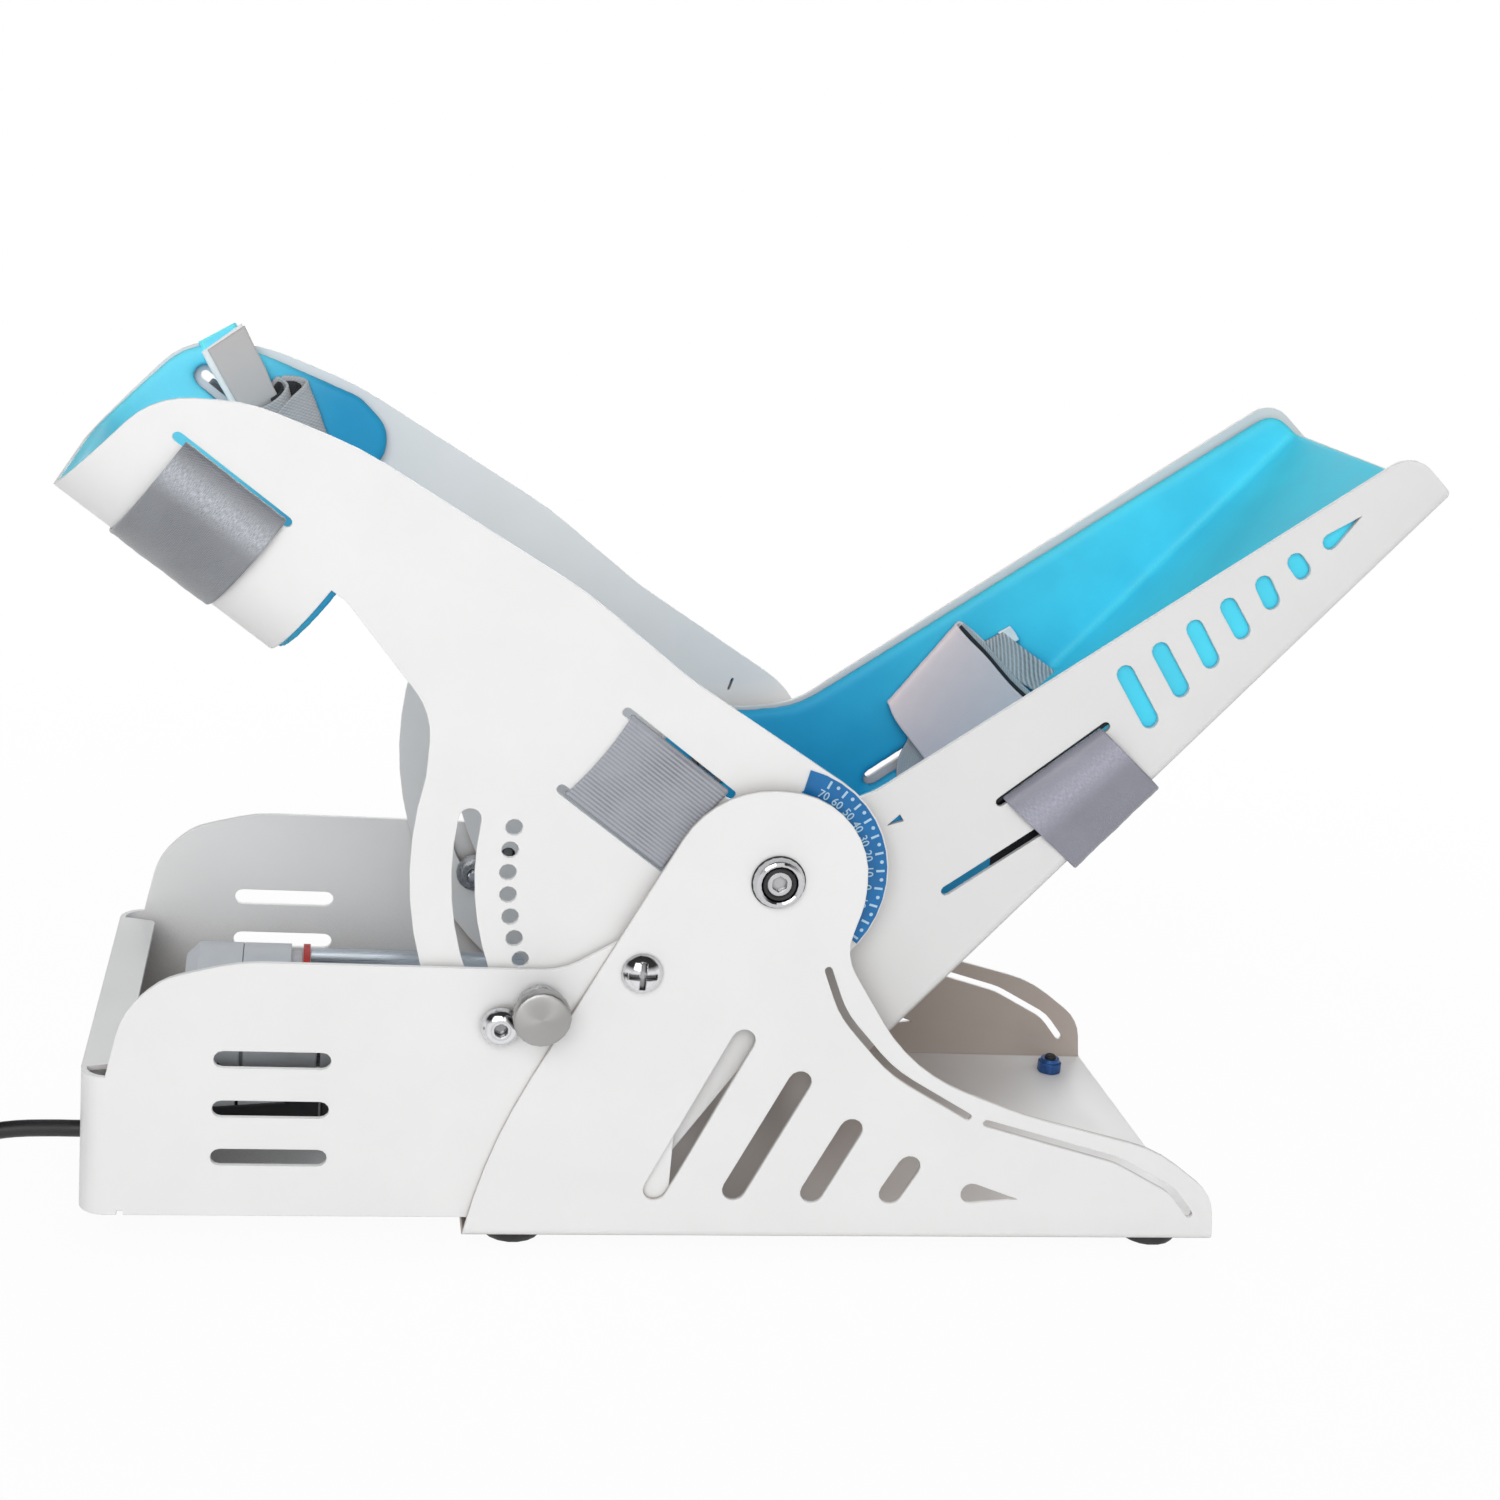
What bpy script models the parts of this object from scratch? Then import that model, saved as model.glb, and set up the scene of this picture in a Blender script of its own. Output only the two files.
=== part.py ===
"""Electric ankle trainer, modelled from a photograph.

Sizes are in millimetres, and the helpers turn them into metres. Side outlines are drawn in x and z, with x from
the rear lower corner of the base channel and z from the underside of its floor. The camera side, near, is -Y.
A distance called out is measured from the middle plane outwards, the same on both sides.
"""

import math

import bmesh
import bpy

MM = 0.001
CHORD = 0.14  # how far a facet may lie from its true arc
OPEN_TOP = 400.0  # a height above everything, for channels that a side outline trims

# Sheet metal layers, from the outside in
SHEET = 2.0
GAP = 0.3  # running gap between neighbouring pieces
BASE_HALF = 90.0
LAYER_AIR = 2.2  # air between the housing walls and the calf plates
HOUSING_HALF = BASE_HALF - SHEET - GAP
CALF_HALF = HOUSING_HALF - SHEET - LAYER_AIR
FOOT_INSET = 12.1  # from the outside of a calf plate to the outside of a foot plate
FOOT_HALF = CALF_HALF - FOOT_INSET

# Base channel and ankle axle
BASE_LENGTH = 301.0
MID_X = BASE_LENGTH / 2
PIVOT = (107.94, 146.67)
RUBBER_HEIGHT = 8.0
STUD_IN_X = 20.5
STUD_IN_Y = 20.0
STUD_RADIUS = 2.5

# Rear housing
HOUSING_REAR = -141.3
HOUSING_BOTTOM = 7.2
HOUSING_CORNER = 10.0
HOUSING_TOP = 108.0
REAR_WALL_TOP = 62.0
REAR_FLANGE = 14.8
HOUSING_FLOOR_END = 8.0
HOUSING_FRONT = 78.0
VENT_X = (-94.0, -51.6)
VENT_HALF = 3.4
VENT_Z = (31.0, 50.4, 70.0)

# Calf bracket: indexed about the axle
INDEX_RADIUS = 99.4
INDEX_FIRST = 171.3
INDEX_STEP = 5.0
INDEX_COUNT = 9
INDEX_LAST = INDEX_FIRST + INDEX_STEP * (INDEX_COUNT - 1)
GUIDE_RADIUS = INDEX_RADIUS + 16.3
GUIDE_HALF = 4.2
LOBE_RADIUS = GUIDE_RADIUS + 19.3
ROUND_END = 43.3
NECK_EDGE = ROUND_END - 4.8  # how far the straight edge under the round end passes from the axle
SCALE_INNER = 32.4
SCALE_OUTER = 42.7
TROUGH_TILT = -35.8
TROUGH_TIP = -285.8
TROUGH_HEEL = -192.0
TROUGH_BOTTOM = 128.6
TROUGH_CORNER = 34.0
CALF_TOP = ((-121.0, 309.0, 30.0), (-90.0, 309.0, 60.0), (-52.0, 296.0, 120.0), (30.0, 250.0, 150.0))

# Foot bracket: s runs up the sole from below the axle, h rises square to it
SOLE_TILT = 49.2
AXLE_OVER_SOLE = 86.1
SOLE_HEEL = -37.8
SOLE_TOE = 282.2
SOLE_BEND = 4.0
LUG_RADIUS = 24.5
TOP_EDGE_TILT = 36.85

# Foam and webbing
CALF_FOAM = 5.5
FOOT_FOAM = 6.0
WEB = 1.0
STRAP_SLOT_HALF = 1.9

# Linear drive
DRIVE_Y = 20.0
DRIVE_Z = 46.4
DRIVE_RADIUS = 26.0
DRIVE_REAR = -110.0
DRIVE_SEAM = -87.3
GROOVE_X = -68.3
GASKET_X = -63.5
TUBE_X = -60.4
TUBE_END = 30.0
TUBE_RADIUS = 24.5
ROD_RADIUS = 5.0
ROD_BORE = 5.5
ROD_REAR = -32.0
BORE_END = -84.0
PIN_RADIUS = 4.0
PIN_PLAY = 0.9
YOKE_REACH = 14.0
CRANK = PIVOT[1] - DRIVE_Z
FOOT_SWING = 30.0
LEVER_HALF = 3.0
CHEEK = 5.0
CONTROLLER_REAR = -54.0

# Fasteners
AXLE_RADIUS = 5.0
AXLE_HEAD = 10.0
PLAY = 0.35  # radial play of a shank in its hole
GUIDE_BOLT_RADIUS = 3.8
PLUNGER_PIN = 2.9
PLUNGER_THREAD = 6.0
PLUNGER_PARKED = 0.6  # air between a parked pin and its calf plate
PLUNGER_TRAVEL = 3.8
SCREW_SHANK = 2.2
SCREW_AT = (60.1, 109.0)

# Power cord
CORD = 6.5
CORD_Y = -45.0
CORD_Z = 21.4
GLAND_RADIUS = 5.2
GLAND_REACH = 24.0
COIL_X = -242.3
COIL_LIFT = 1.5
COIL_OUTER = 48.6
COIL_PITCH = 7.4
COIL_TURNS = 3
COIL_POINTS = 20
COIL_FLARE = 14.0  # how far the last quarter turn swings out to the plug

MATERIALS = {
    "white_coat": ((0.84, 0.84, 0.83), 0.0, 0.38),
    "chrome": ((0.62, 0.63, 0.64), 1.0, 0.14),
    "steel": ((0.50, 0.51, 0.52), 1.0, 0.32),
    "black_rubber": ((0.02, 0.02, 0.021), 0.0, 0.65),
    "black_plastic": ((0.025, 0.025, 0.028), 0.0, 0.45),
    "blue_nut": ((0.02, 0.06, 0.17), 0.3, 0.4),
    "blue_foam": ((0.05, 0.42, 0.72), 0.0, 0.85),
    "blue_scale": ((0.03, 0.17, 0.50), 0.0, 0.45),
    "grey_web": ((0.25, 0.27, 0.29), 0.0, 0.6),
    "grey_elastic": ((0.45, 0.46, 0.47), 0.0, 0.8),
    "drive_plastic": ((0.52, 0.55, 0.58), 0.0, 0.45),
    "drive_tube": ((0.42, 0.48, 0.55), 0.9, 0.35),
    "red_ring": ((0.55, 0.03, 0.03), 0.0, 0.5),
    "cord_black": ((0.02, 0.02, 0.022), 0.0, 0.55),
}

SIDES = {"near": -1.0, "far": 1.0}


# Scene and materials

def clear_scene():
    for obj in list(bpy.data.objects):
        bpy.data.objects.remove(obj, do_unlink=True)


def material(slot):
    found = bpy.data.materials.get(slot)
    if found:
        return found
    color, metallic, roughness = MATERIALS[slot]
    made = bpy.data.materials.new(slot)
    made.use_nodes = True
    shader = made.node_tree.nodes["Principled BSDF"]
    shader.inputs["Base Color"].default_value = (*color, 1.0)
    shader.inputs["Metallic"].default_value = metallic
    shader.inputs["Roughness"].default_value = roughness
    made.diffuse_color = (*color, 1.0)
    return made


# Outlines

def arc_count(radius, sweep):
    """How many facets keep an arc of this sweep, in degrees, within CHORD of the true one."""
    step = 2 * math.degrees(math.acos(1 - min(CHORD / radius, 0.5)))
    return max(1, math.ceil(abs(sweep) / step))


def arc(centre, radius, start, end):
    count = arc_count(radius, end - start)
    turns = [math.radians(start + (end - start) * i / count) for i in range(count + 1)]
    return [(centre[0] + radius * math.cos(t), centre[1] + radius * math.sin(t)) for t in turns]


def filleted(corners, closed=True):
    """An outline of corners (a, b) or (a, b, radius), each radius a true arc that fits its two edges."""
    count = len(corners)
    cuts = []
    for i, corner in enumerate(corners):
        radius = corner[2] if len(corner) > 2 else 0.0
        if radius == 0.0 or (not closed and i in (0, count - 1)):
            cuts.append((0.0, 0.0, 0.0))
            continue
        before = math.atan2(corner[1] - corners[i - 1][1], corner[0] - corners[i - 1][0])
        following = corners[(i + 1) % count]
        after = math.atan2(following[1] - corner[1], following[0] - corner[0])
        turn = (after - before + math.pi) % (2 * math.pi) - math.pi
        cuts.append((radius * abs(math.tan(turn / 2)), before, turn))
    points = []
    for i, corner in enumerate(corners):
        length, before, turn = cuts[i]
        if length == 0.0:
            points.append((corner[0], corner[1]))
            continue
        for j in (i - 1, (i + 1) % count):
            edge = math.dist(corner[:2], corners[j][:2])
            length = min(length, edge * cuts[i][0] / (cuts[i][0] + cuts[j][0]))
        radius = length / abs(math.tan(turn / 2))
        side = math.copysign(1.0, turn)
        start = (corner[0] - length * math.cos(before), corner[1] - length * math.sin(before))
        centre = (start[0] - side * radius * math.sin(before), start[1] + side * radius * math.cos(before))
        first = math.degrees(before) - side * 90
        points += arc(centre, radius, first, first + math.degrees(turn))
    return points


def stroke(path, half):
    """A slot of even width with round ends along an open path."""
    left = []
    right = []
    for i, point in enumerate(path):
        before = path[max(i - 1, 0)]
        after = path[min(i + 1, len(path) - 1)]
        heading = math.atan2(after[1] - before[1], after[0] - before[0])
        across = (-math.sin(heading) * half, math.cos(heading) * half)
        left.append((point[0] + across[0], point[1] + across[1]))
        right.append((point[0] - across[0], point[1] - across[1]))
    first = math.degrees(math.atan2(path[1][1] - path[0][1], path[1][0] - path[0][0]))
    last = math.degrees(math.atan2(path[-1][1] - path[-2][1], path[-1][0] - path[-2][0]))
    end = arc(path[-1], half, last - 90, last + 90)[1:-1]
    start = arc(path[0], half, first + 90, first + 270)[1:-1]
    return right + end + left[::-1] + start


def circle(centre, radius):
    return arc(centre, radius, 0, 360)[:-1]


def polar(radius, angle, centre=PIVOT):
    turn = math.radians(angle)
    return (centre[0] + radius * math.cos(turn), centre[1] + radius * math.sin(turn))


def teardrop(centre, radius, tip):
    """A round end drawn out to a point."""
    reach = math.dist(centre, tip)
    heading = math.degrees(math.atan2(tip[1] - centre[1], tip[0] - centre[0]))
    lean = math.degrees(math.acos(radius / reach))
    return arc(centre, radius, heading + lean, heading + 360 - lean) + [tip]


def shifted(path, dx, dy):
    return [(a + dx, b + dy) for a, b in path]


# Places: each turns an outline point and a depth into x, y, z

def side_view(a, b, depth):
    return (a, depth, b)


def cross_section(a, b, depth):
    return (depth, a, b)


def plan(a, b, depth):
    return (a, b, depth)


def tilted(origin, angle):
    """Cross-section a, b swept along a line in the side view: a is y, b is square to the line, depth along it."""
    along = (math.cos(math.radians(angle)), math.sin(math.radians(angle)))

    def place(a, b, depth):
        x = origin[0] + depth * along[0] - b * along[1]
        z = origin[1] + depth * along[1] + b * along[0]
        return (x, a, z)

    return place


trough = tilted((0.0, 0.0), TROUGH_TILT)
SOLE_NORMAL = (math.sin(math.radians(SOLE_TILT)), -math.cos(math.radians(SOLE_TILT)))
UNDER_AXLE = (PIVOT[0] + AXLE_OVER_SOLE * SOLE_NORMAL[0], PIVOT[1] + AXLE_OVER_SOLE * SOLE_NORMAL[1])
sole = tilted(UNDER_AXLE, SOLE_TILT)


def on_trough(u, w):
    x, _, z = trough(0.0, w, u)
    return (x, z)


def on_sole(s, h):
    x, _, z = sole(0.0, h, s)
    return (x, z)


# Solids

def solid(name, verts, faces, slot, origin):
    """An object whose origin lies at origin, from points in base coordinates."""
    mesh = bpy.data.meshes.new(name)
    mesh.from_pydata([tuple(MM * (p - o) for p, o in zip(v, origin)) for v in verts], [], faces)
    edit = bmesh.new()
    edit.from_mesh(mesh)
    bmesh.ops.recalc_face_normals(edit, faces=edit.faces)
    edit.to_mesh(mesh)
    edit.free()
    obj = bpy.data.objects.new(name, mesh)
    obj.location = (MM * (origin[0] - MID_X), MM * origin[1], MM * origin[2])
    bpy.context.scene.collection.objects.link(obj)
    if slot:
        mesh.materials.append(material(slot))
    return obj


ROOT = (MID_X, 0.0, 0.0)
AXLE = (PIVOT[0], 0.0, PIVOT[1])


def extruded(name, loops, low, high, place, slot=None, origin=ROOT):
    verts = []
    faces = []
    for loop in loops:
        base = len(verts)
        count = len(loop)
        verts += [place(a, b, low) for a, b in loop]
        verts += [place(a, b, high) for a, b in loop]
        faces.append(tuple(range(base, base + count)))
        faces.append(tuple(range(base + count, base + 2 * count)))
        for i in range(count):
            j = (i + 1) % count
            faces.append((base + i, base + j, base + count + j, base + count + i))
    return solid(name, verts, faces, slot, origin)


def turned(name, profile, centre, axis, slot=None, origin=ROOT, segments=18, ring=False):
    """A revolve of (t, radius) or (t, radius, "hex") about an axis; ring closes the profile round a bore."""
    axis_x, axis_y, axis_z = axis
    if axis_z:
        first, second = (1.0, 0.0, 0.0), (0.0, 1.0, 0.0)
    elif axis_y:
        first, second = (1.0, 0.0, 0.0), (0.0, 0.0, 1.0)
    else:
        first, second = (0.0, 1.0, 0.0), (0.0, 0.0, 1.0)
    verts = []
    rows = []
    for point in profile:
        t, radius = point[:2]
        count = segments if radius > 0 else 1
        rows.append(list(range(len(verts), len(verts) + count)))
        for i in range(count):
            turn = 2 * math.pi * i / segments
            reach = radius
            if len(point) > 2:
                sixth = math.pi / 6
                reach = radius * math.cos(sixth) / math.cos((turn + sixth) % (2 * sixth) - sixth)
            verts.append(tuple(
                centre[k] + t * axis[k] + reach * (math.cos(turn) * first[k] + math.sin(turn) * second[k])
                for k in range(3)
            ))
    faces = []
    pairs = list(zip(rows, rows[1:]))
    if ring:
        pairs.append((rows[-1], rows[0]))
    for low, high in pairs:
        for i in range(segments):
            j = (i + 1) % segments
            face = [low[i % len(low)], low[j % len(low)], high[j % len(high)], high[i % len(high)]]
            face = list(dict.fromkeys(face))
            if len(face) > 2:
                faces.append(tuple(face))
    return solid(name, verts, faces, slot, origin)


def boolean(piece, operation, *tools):
    for tool in tools:
        step = piece.modifiers.new(tool.name, "BOOLEAN")
        step.operation = operation
        step.solver = "EXACT"
        step.object = tool
        tool.hide_render = True
        tool.display_type = "WIRE"


def rounded(piece, width, segments=2):
    """A bevel on the sharp edges of a convex piece."""
    step = piece.modifiers.new("edges", "BEVEL")
    step.width = MM * width
    step.segments = segments
    step.limit_method = "ANGLE"
    step.angle_limit = math.radians(40)


def channel_profile(half, wall, bottom, corner, top):
    """A U of sheet: outer half width, wall, underside height, outer bend radius and the height of its open top."""
    inner = max(corner - wall, 0.0)
    return filleted([
        (-half, top), (-half, bottom, corner), (half, bottom, corner), (half, top),
        (half - wall, top), (half - wall, bottom + wall, inner), (wall - half, bottom + wall, inner),
        (wall - half, top),
    ])


# Base channel

GUIDE_AT = polar(GUIDE_RADIUS, INDEX_LAST)
PLUNGER_AT = polar(INDEX_RADIUS, INDEX_LAST)
STUDS = [(x, side * (BASE_HALF - STUD_IN_Y))
         for x in (STUD_IN_X, BASE_LENGTH - STUD_IN_X) for side in (-1.0, 1.0)]


def fastener_holes():
    """Holes that the housing and the base plates share."""
    return [
        circle(GUIDE_AT, GUIDE_BOLT_RADIUS + PLAY),
        circle(PLUNGER_AT, PLUNGER_THREAD + PLAY),
        circle(SCREW_AT, SCREW_SHANK + PLAY),
    ]


def base_channel():
    profile = channel_profile(BASE_HALF, SHEET, 0.0, 3.0, 250.0)
    piece = extruded("base_channel", [profile], -5.0, BASE_LENGTH + 5.0, cross_section, "white_coat")
    outline = filleted([
        (0.0, -5.0), (0.0, 0.0, 0.0), (7.0, 36.0, 230.0), (81.4, 181.5, 37.0), (142.0, 181.0, 34.0),
        (142.0, 139.0, 30.0), (136.5, 118.0, 20.0), (168.0, 71.0, 75.0), (215.0, 53.5, 150.0),
        (272.0, 39.5, 60.0), (298.0, 20.5, 20.0), (BASE_LENGTH, 0.0, 0.0), (BASE_LENGTH, -5.0),
    ])
    side = extruded("base_side_outline", [outline], -BASE_HALF - 5, BASE_HALF + 5, side_view)
    long_slots = [
        ((101.0, 82.6), (72.4, 20.6)), ((124.4, 66.0), (103.1, 20.9)),
        ((146.6, 46.5), (133.9, 20.1)), ((171.4, 31.1), (165.3, 19.9)),
    ]
    loops = [stroke([top, bottom], 4.7) for top, bottom in long_slots]
    loops.append(teardrop((197.9, 20.0), 4.3, (217.3, 17.6)))
    upper = filleted([(130.8, 112.0), (138.2, 94.5, 40.0), (160.0, 71.0, 60.0), (192.6, 52.7)], closed=False)
    lower = filleted([(200.4, 50.1), (256.0, 35.0, 30.0), (281.0, 22.0, 20.0), (289.6, 11.6)], closed=False)
    loops += [stroke(upper, 1.5), stroke(lower, 1.5)]
    loops.append(circle(PIVOT, AXLE_RADIUS + PLAY))
    loops += fastener_holes()
    slots = extruded("base_slots", loops, -BASE_HALF - 8, BASE_HALF + 8, side_view)
    studs = extruded("base_stud_holes", [circle(at, STUD_RADIUS + PLAY) for at in STUDS], -3.0, 6.0, plan)
    boolean(piece, "INTERSECT", side)
    boolean(piece, "DIFFERENCE", slots, studs)


def rubber_feet():
    for (x, y), name in zip(STUDS, ("rear_near", "rear_far", "front_near", "front_far")):
        top = -0.2
        pad = 12.5
        turned(f"rubber_foot_{name}", [
            (-RUBBER_HEIGHT, 0.0), (-RUBBER_HEIGHT, 9.0), (1.2 - RUBBER_HEIGHT, 11.2), (3.4 - RUBBER_HEIGHT, pad),
            (top, pad), (top, STUD_RADIUS), (SHEET + 7.6, STUD_RADIUS), (SHEET + 8.2, STUD_RADIUS - 0.6),
            (SHEET + 8.2, 0.0),
        ], (x, y, 0.0), (0.0, 0.0, 1.0), "black_rubber")
        low = SHEET + 0.2
        turned(f"foot_nut_{name}", [
            (low, STUD_RADIUS + 0.25), (low, 5.9, "hex"), (low + 4.6, 5.9, "hex"), (low + 5.0, 4.6),
            (low + 6.4, 4.2), (low + 6.4, STUD_RADIUS + 0.25),
        ], (x, y, 0.0), (0.0, 0.0, 1.0), "blue_nut", ring=True)


# Rear housing

def housing_outline():
    step = 5.0
    return filleted([
        (HOUSING_REAR - 9.0, HOUSING_BOTTOM), (HOUSING_REAR - 9.0, REAR_WALL_TOP),
        (HOUSING_REAR + 9.2, REAR_WALL_TOP, 0.0), (-126.5, 88.0, 30.0), (-112.5, 101.0, 26.0),
        (-86.0, HOUSING_TOP, 60.0), (31.0, HOUSING_TOP, 25.0), (52.0, 121.0, 12.0), (HOUSING_FRONT, 124.0),
        (HOUSING_FRONT, HOUSING_BOTTOM + step), (HOUSING_FLOOR_END, HOUSING_BOTTOM + step, 2.0),
        (HOUSING_FLOOR_END, HOUSING_BOTTOM),
    ])


def rear_housing():
    tall = 200.0
    far_x = HOUSING_FRONT + 60
    rear = HOUSING_REAR
    half = HOUSING_HALF
    inner = HOUSING_CORNER - SHEET
    outside = filleted([(rear, -half, HOUSING_CORNER), (far_x, -half), (far_x, half), (rear, half, HOUSING_CORNER)])
    room = filleted([
        (rear + SHEET, SHEET - half, inner), (far_x + 9, SHEET - half),
        (far_x + 9, half - SHEET), (rear + SHEET, half - SHEET, inner),
    ])
    piece = extruded("rear_housing", [outside], HOUSING_BOTTOM, tall, plan, "white_coat")
    hollow = extruded("housing_room", [room], HOUSING_BOTTOM + SHEET, tall + 9, plan)
    side = extruded("housing_side_outline", [housing_outline()], -half - 9, half + 9, side_view)
    lip_half = half - HOUSING_CORNER
    lip = [(rear + 1.0, -lip_half), (rear + REAR_FLANGE, 4.0 - lip_half, 3.0),
           (rear + REAR_FLANGE, lip_half - 4.0, 3.0), (rear + 1.0, lip_half)]
    flange = extruded("housing_flange", [filleted(lip)], REAR_WALL_TOP - SHEET, REAR_WALL_TOP, plan)
    loops = [stroke([(VENT_X[0] + VENT_HALF, z), (VENT_X[1] - VENT_HALF, z)], VENT_HALF) for z in VENT_Z]
    loops += fastener_holes()
    loops.append([(-127.0, 4.0), (-124.6, 4.0), (-124.6, HOUSING_BOTTOM + 1.6), (-127.0, HOUSING_BOTTOM + 1.6)])
    openings = extruded("housing_openings", loops, -half - 12, half + 12, side_view)
    exit_hole = extruded("housing_cord_hole", [circle((CORD_Y, CORD_Z), GLAND_RADIUS + PLAY)],
                         rear - 9, rear + 9, cross_section)
    boolean(piece, "DIFFERENCE", hollow)
    boolean(piece, "INTERSECT", side)
    boolean(piece, "UNION", flange)
    boolean(piece, "DIFFERENCE", openings, exit_hole)


# Fasteners, both sides

def fasteners():
    face = BASE_HALF + 0.2
    for side, sign in SIDES.items():
        axis = (0.0, sign, 0.0)
        at_axle = (PIVOT[0], 0.0, PIVOT[1])
        inside = FOOT_HALF - SHEET - 0.3
        turned(f"axle_bolt_{side}", [
            (face + 1.4, 0.0), (face + 1.4, 3.2, "hex"), (face + 3.0, 3.2, "hex"), (face + 3.0, 4.6),
            (face + 2.4, 5.0), (face + 2.4, 6.4), (face + 3.6, 7.0), (face + 4.0, 7.8), (face + 3.6, 8.8),
            (face + 2.4, AXLE_HEAD - 0.4), (face + 0.6, AXLE_HEAD), (face, AXLE_HEAD), (face, AXLE_RADIUS),
            (inside - 7.0, AXLE_RADIUS), (inside - 7.6, AXLE_RADIUS - 0.6), (inside - 7.6, 0.0),
        ], at_axle, axis, "chrome", segments=20)
        bore = AXLE_RADIUS + PLAY
        turned(f"axle_bush_{side}", [
            (CALF_HALF + GAP, bore), (CALF_HALF + GAP, 9.0), (BASE_HALF - SHEET - GAP, 9.0),
            (BASE_HALF - SHEET - GAP, bore),
        ], at_axle, axis, "steel", ring=True)
        turned(f"axle_spacer_{side}", [
            (FOOT_HALF + GAP, bore), (FOOT_HALF + GAP, 9.5), (CALF_HALF - SHEET - GAP, 9.5),
            (CALF_HALF - SHEET - GAP, bore),
        ], at_axle, axis, "steel", ring=True)
        turned(f"axle_nut_{side}", [
            (inside - 5.6, bore - 0.1), (inside - 5.6, 8.0, "hex"), (inside - 1.0, 8.0, "hex"), (inside - 0.9, 9.2),
            (inside, 9.2), (inside, bore - 0.1),
        ], at_axle, axis, "steel", ring=True)

        at_guide = (GUIDE_AT[0], 0.0, GUIDE_AT[1])
        nut_top = CALF_HALF - SHEET - GAP
        turned(f"guide_bolt_{side}", [
            (face + 1.6, 0.0), (face + 1.6, 2.8, "hex"), (face + 4.4, 2.8, "hex"), (face + 4.6, 3.7),
            (face + 3.8, 5.8), (face + 1.9, 7.3), (face + 0.4, 7.65), (face, 7.4), (face, GUIDE_BOLT_RADIUS),
            (nut_top - 7.4, GUIDE_BOLT_RADIUS), (nut_top - 8.0, GUIDE_BOLT_RADIUS - 0.6), (nut_top - 8.0, 0.0),
        ], at_guide, axis, "chrome")
        turned(f"guide_nut_{side}", [
            (nut_top - 6.4, GUIDE_BOLT_RADIUS + 0.25), (nut_top - 6.4, 7.2, "hex"), (nut_top - 1.2, 7.2, "hex"),
            (nut_top - 1.1, 8.4), (nut_top, 8.4), (nut_top, GUIDE_BOLT_RADIUS + 0.25),
        ], at_guide, axis, "steel", ring=True)

        at_screw = (SCREW_AT[0], 0.0, SCREW_AT[1])
        head = turned(f"housing_screw_{side}", [
            (face + 5.0, 0.0), (face + 4.8, 2.4), (face + 4.0, 4.9), (face + 2.3, 7.0), (face + 0.6, 7.9),
            (face, 7.8), (face, SCREW_SHANK), (CALF_HALF + 1.0, SCREW_SHANK), (CALF_HALF + 0.7, 0.0),
        ], at_screw, axis, "chrome")
        reach = 5.2
        thin = 1.05
        arms = [(-thin, -reach), (thin, -reach), (thin, -thin), (reach, -thin), (reach, thin), (thin, thin),
                (thin, reach), (-thin, reach), (-thin, thin), (-reach, thin), (-reach, -thin), (-thin, -thin)]
        recess = sorted((sign * (face + 2.0), sign * (face + 9.0)))
        cross = extruded(f"housing_screw_recess_{side}", [shifted(arms, *SCREW_AT)], *recess, side_view)
        boolean(head, "DIFFERENCE", cross)

        at_plunger = (PLUNGER_AT[0], 0.0, PLUNGER_AT[1])
        collar = face + 4.0
        turned(f"plunger_body_{side}", [
            (CALF_HALF + GAP, PLUNGER_PIN + PLAY), (CALF_HALF + GAP, PLUNGER_THREAD), (face, PLUNGER_THREAD),
            (face, 9.4, "hex"), (face + 2.8, 9.4, "hex"), (face + 3.2, 7.4), (collar, 7.4),
            (collar, PLUNGER_PIN + PLAY),
        ], at_plunger, axis, "steel", ring=True)
        tip = CALF_HALF + PLUNGER_PARKED
        knob = collar + PLUNGER_TRAVEL + GAP
        turned(f"plunger_knob_{side}", [
            (tip, 0.0), (tip, 2.0), (tip + 1.0, PLUNGER_PIN), (knob, PLUNGER_PIN), (knob, 9.6), (knob + 0.8, 10.7),
            (knob + 4.6, 10.75), (knob + 5.5, 10.2), (knob + 6.0, 9.2), (knob + 6.0, 0.0),
        ], at_plunger, axis, "steel", (PLUNGER_AT[0], sign * BASE_HALF, PLUNGER_AT[1]), 20)


# Calf bracket and what it carries

def calf_outline(inset=0.0):
    """The side outline of the calf bracket, its trough included, from the tip round the top."""
    end_slope = -31.0
    tangent = polar(ROUND_END, 90 + end_slope)
    back = 70.0
    along = (math.cos(math.radians(end_slope)), math.sin(math.radians(end_slope)))
    before = (tangent[0] - back * along[0], tangent[1] - back * along[1])
    top = [
        (*on_trough(TROUGH_TIP, TROUGH_BOTTOM), 0.0), *CALF_TOP, (*before, 60.0), tangent,
    ]
    edge_angle = 56.1
    meet = edge_angle - 90 - math.degrees(math.acos(NECK_EDGE / ROUND_END))
    lobe_start = edge_angle - 90 - math.degrees(math.acos(NECK_EDGE / LOBE_RADIUS))
    lobe_end = 166.0 - 360.0
    heel = [
        (*polar(LOBE_RADIUS, lobe_end), 0.0), (-22.0, 203.0, 28.0), (-54.0, 242.0, 8.0),
        (*on_trough(TROUGH_HEEL, TROUGH_BOTTOM + TROUGH_CORNER + 2.0), 0.0),
        (*on_trough(TROUGH_HEEL, TROUGH_BOTTOM), 0.0),
    ]
    points = filleted(top, closed=False)[:-1]
    points += arc(PIVOT, ROUND_END, 90 + end_slope, meet)
    points += arc(PIVOT, LOBE_RADIUS, lobe_start, lobe_end)[:-1]
    points += filleted(heel, closed=False)
    return points


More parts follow.
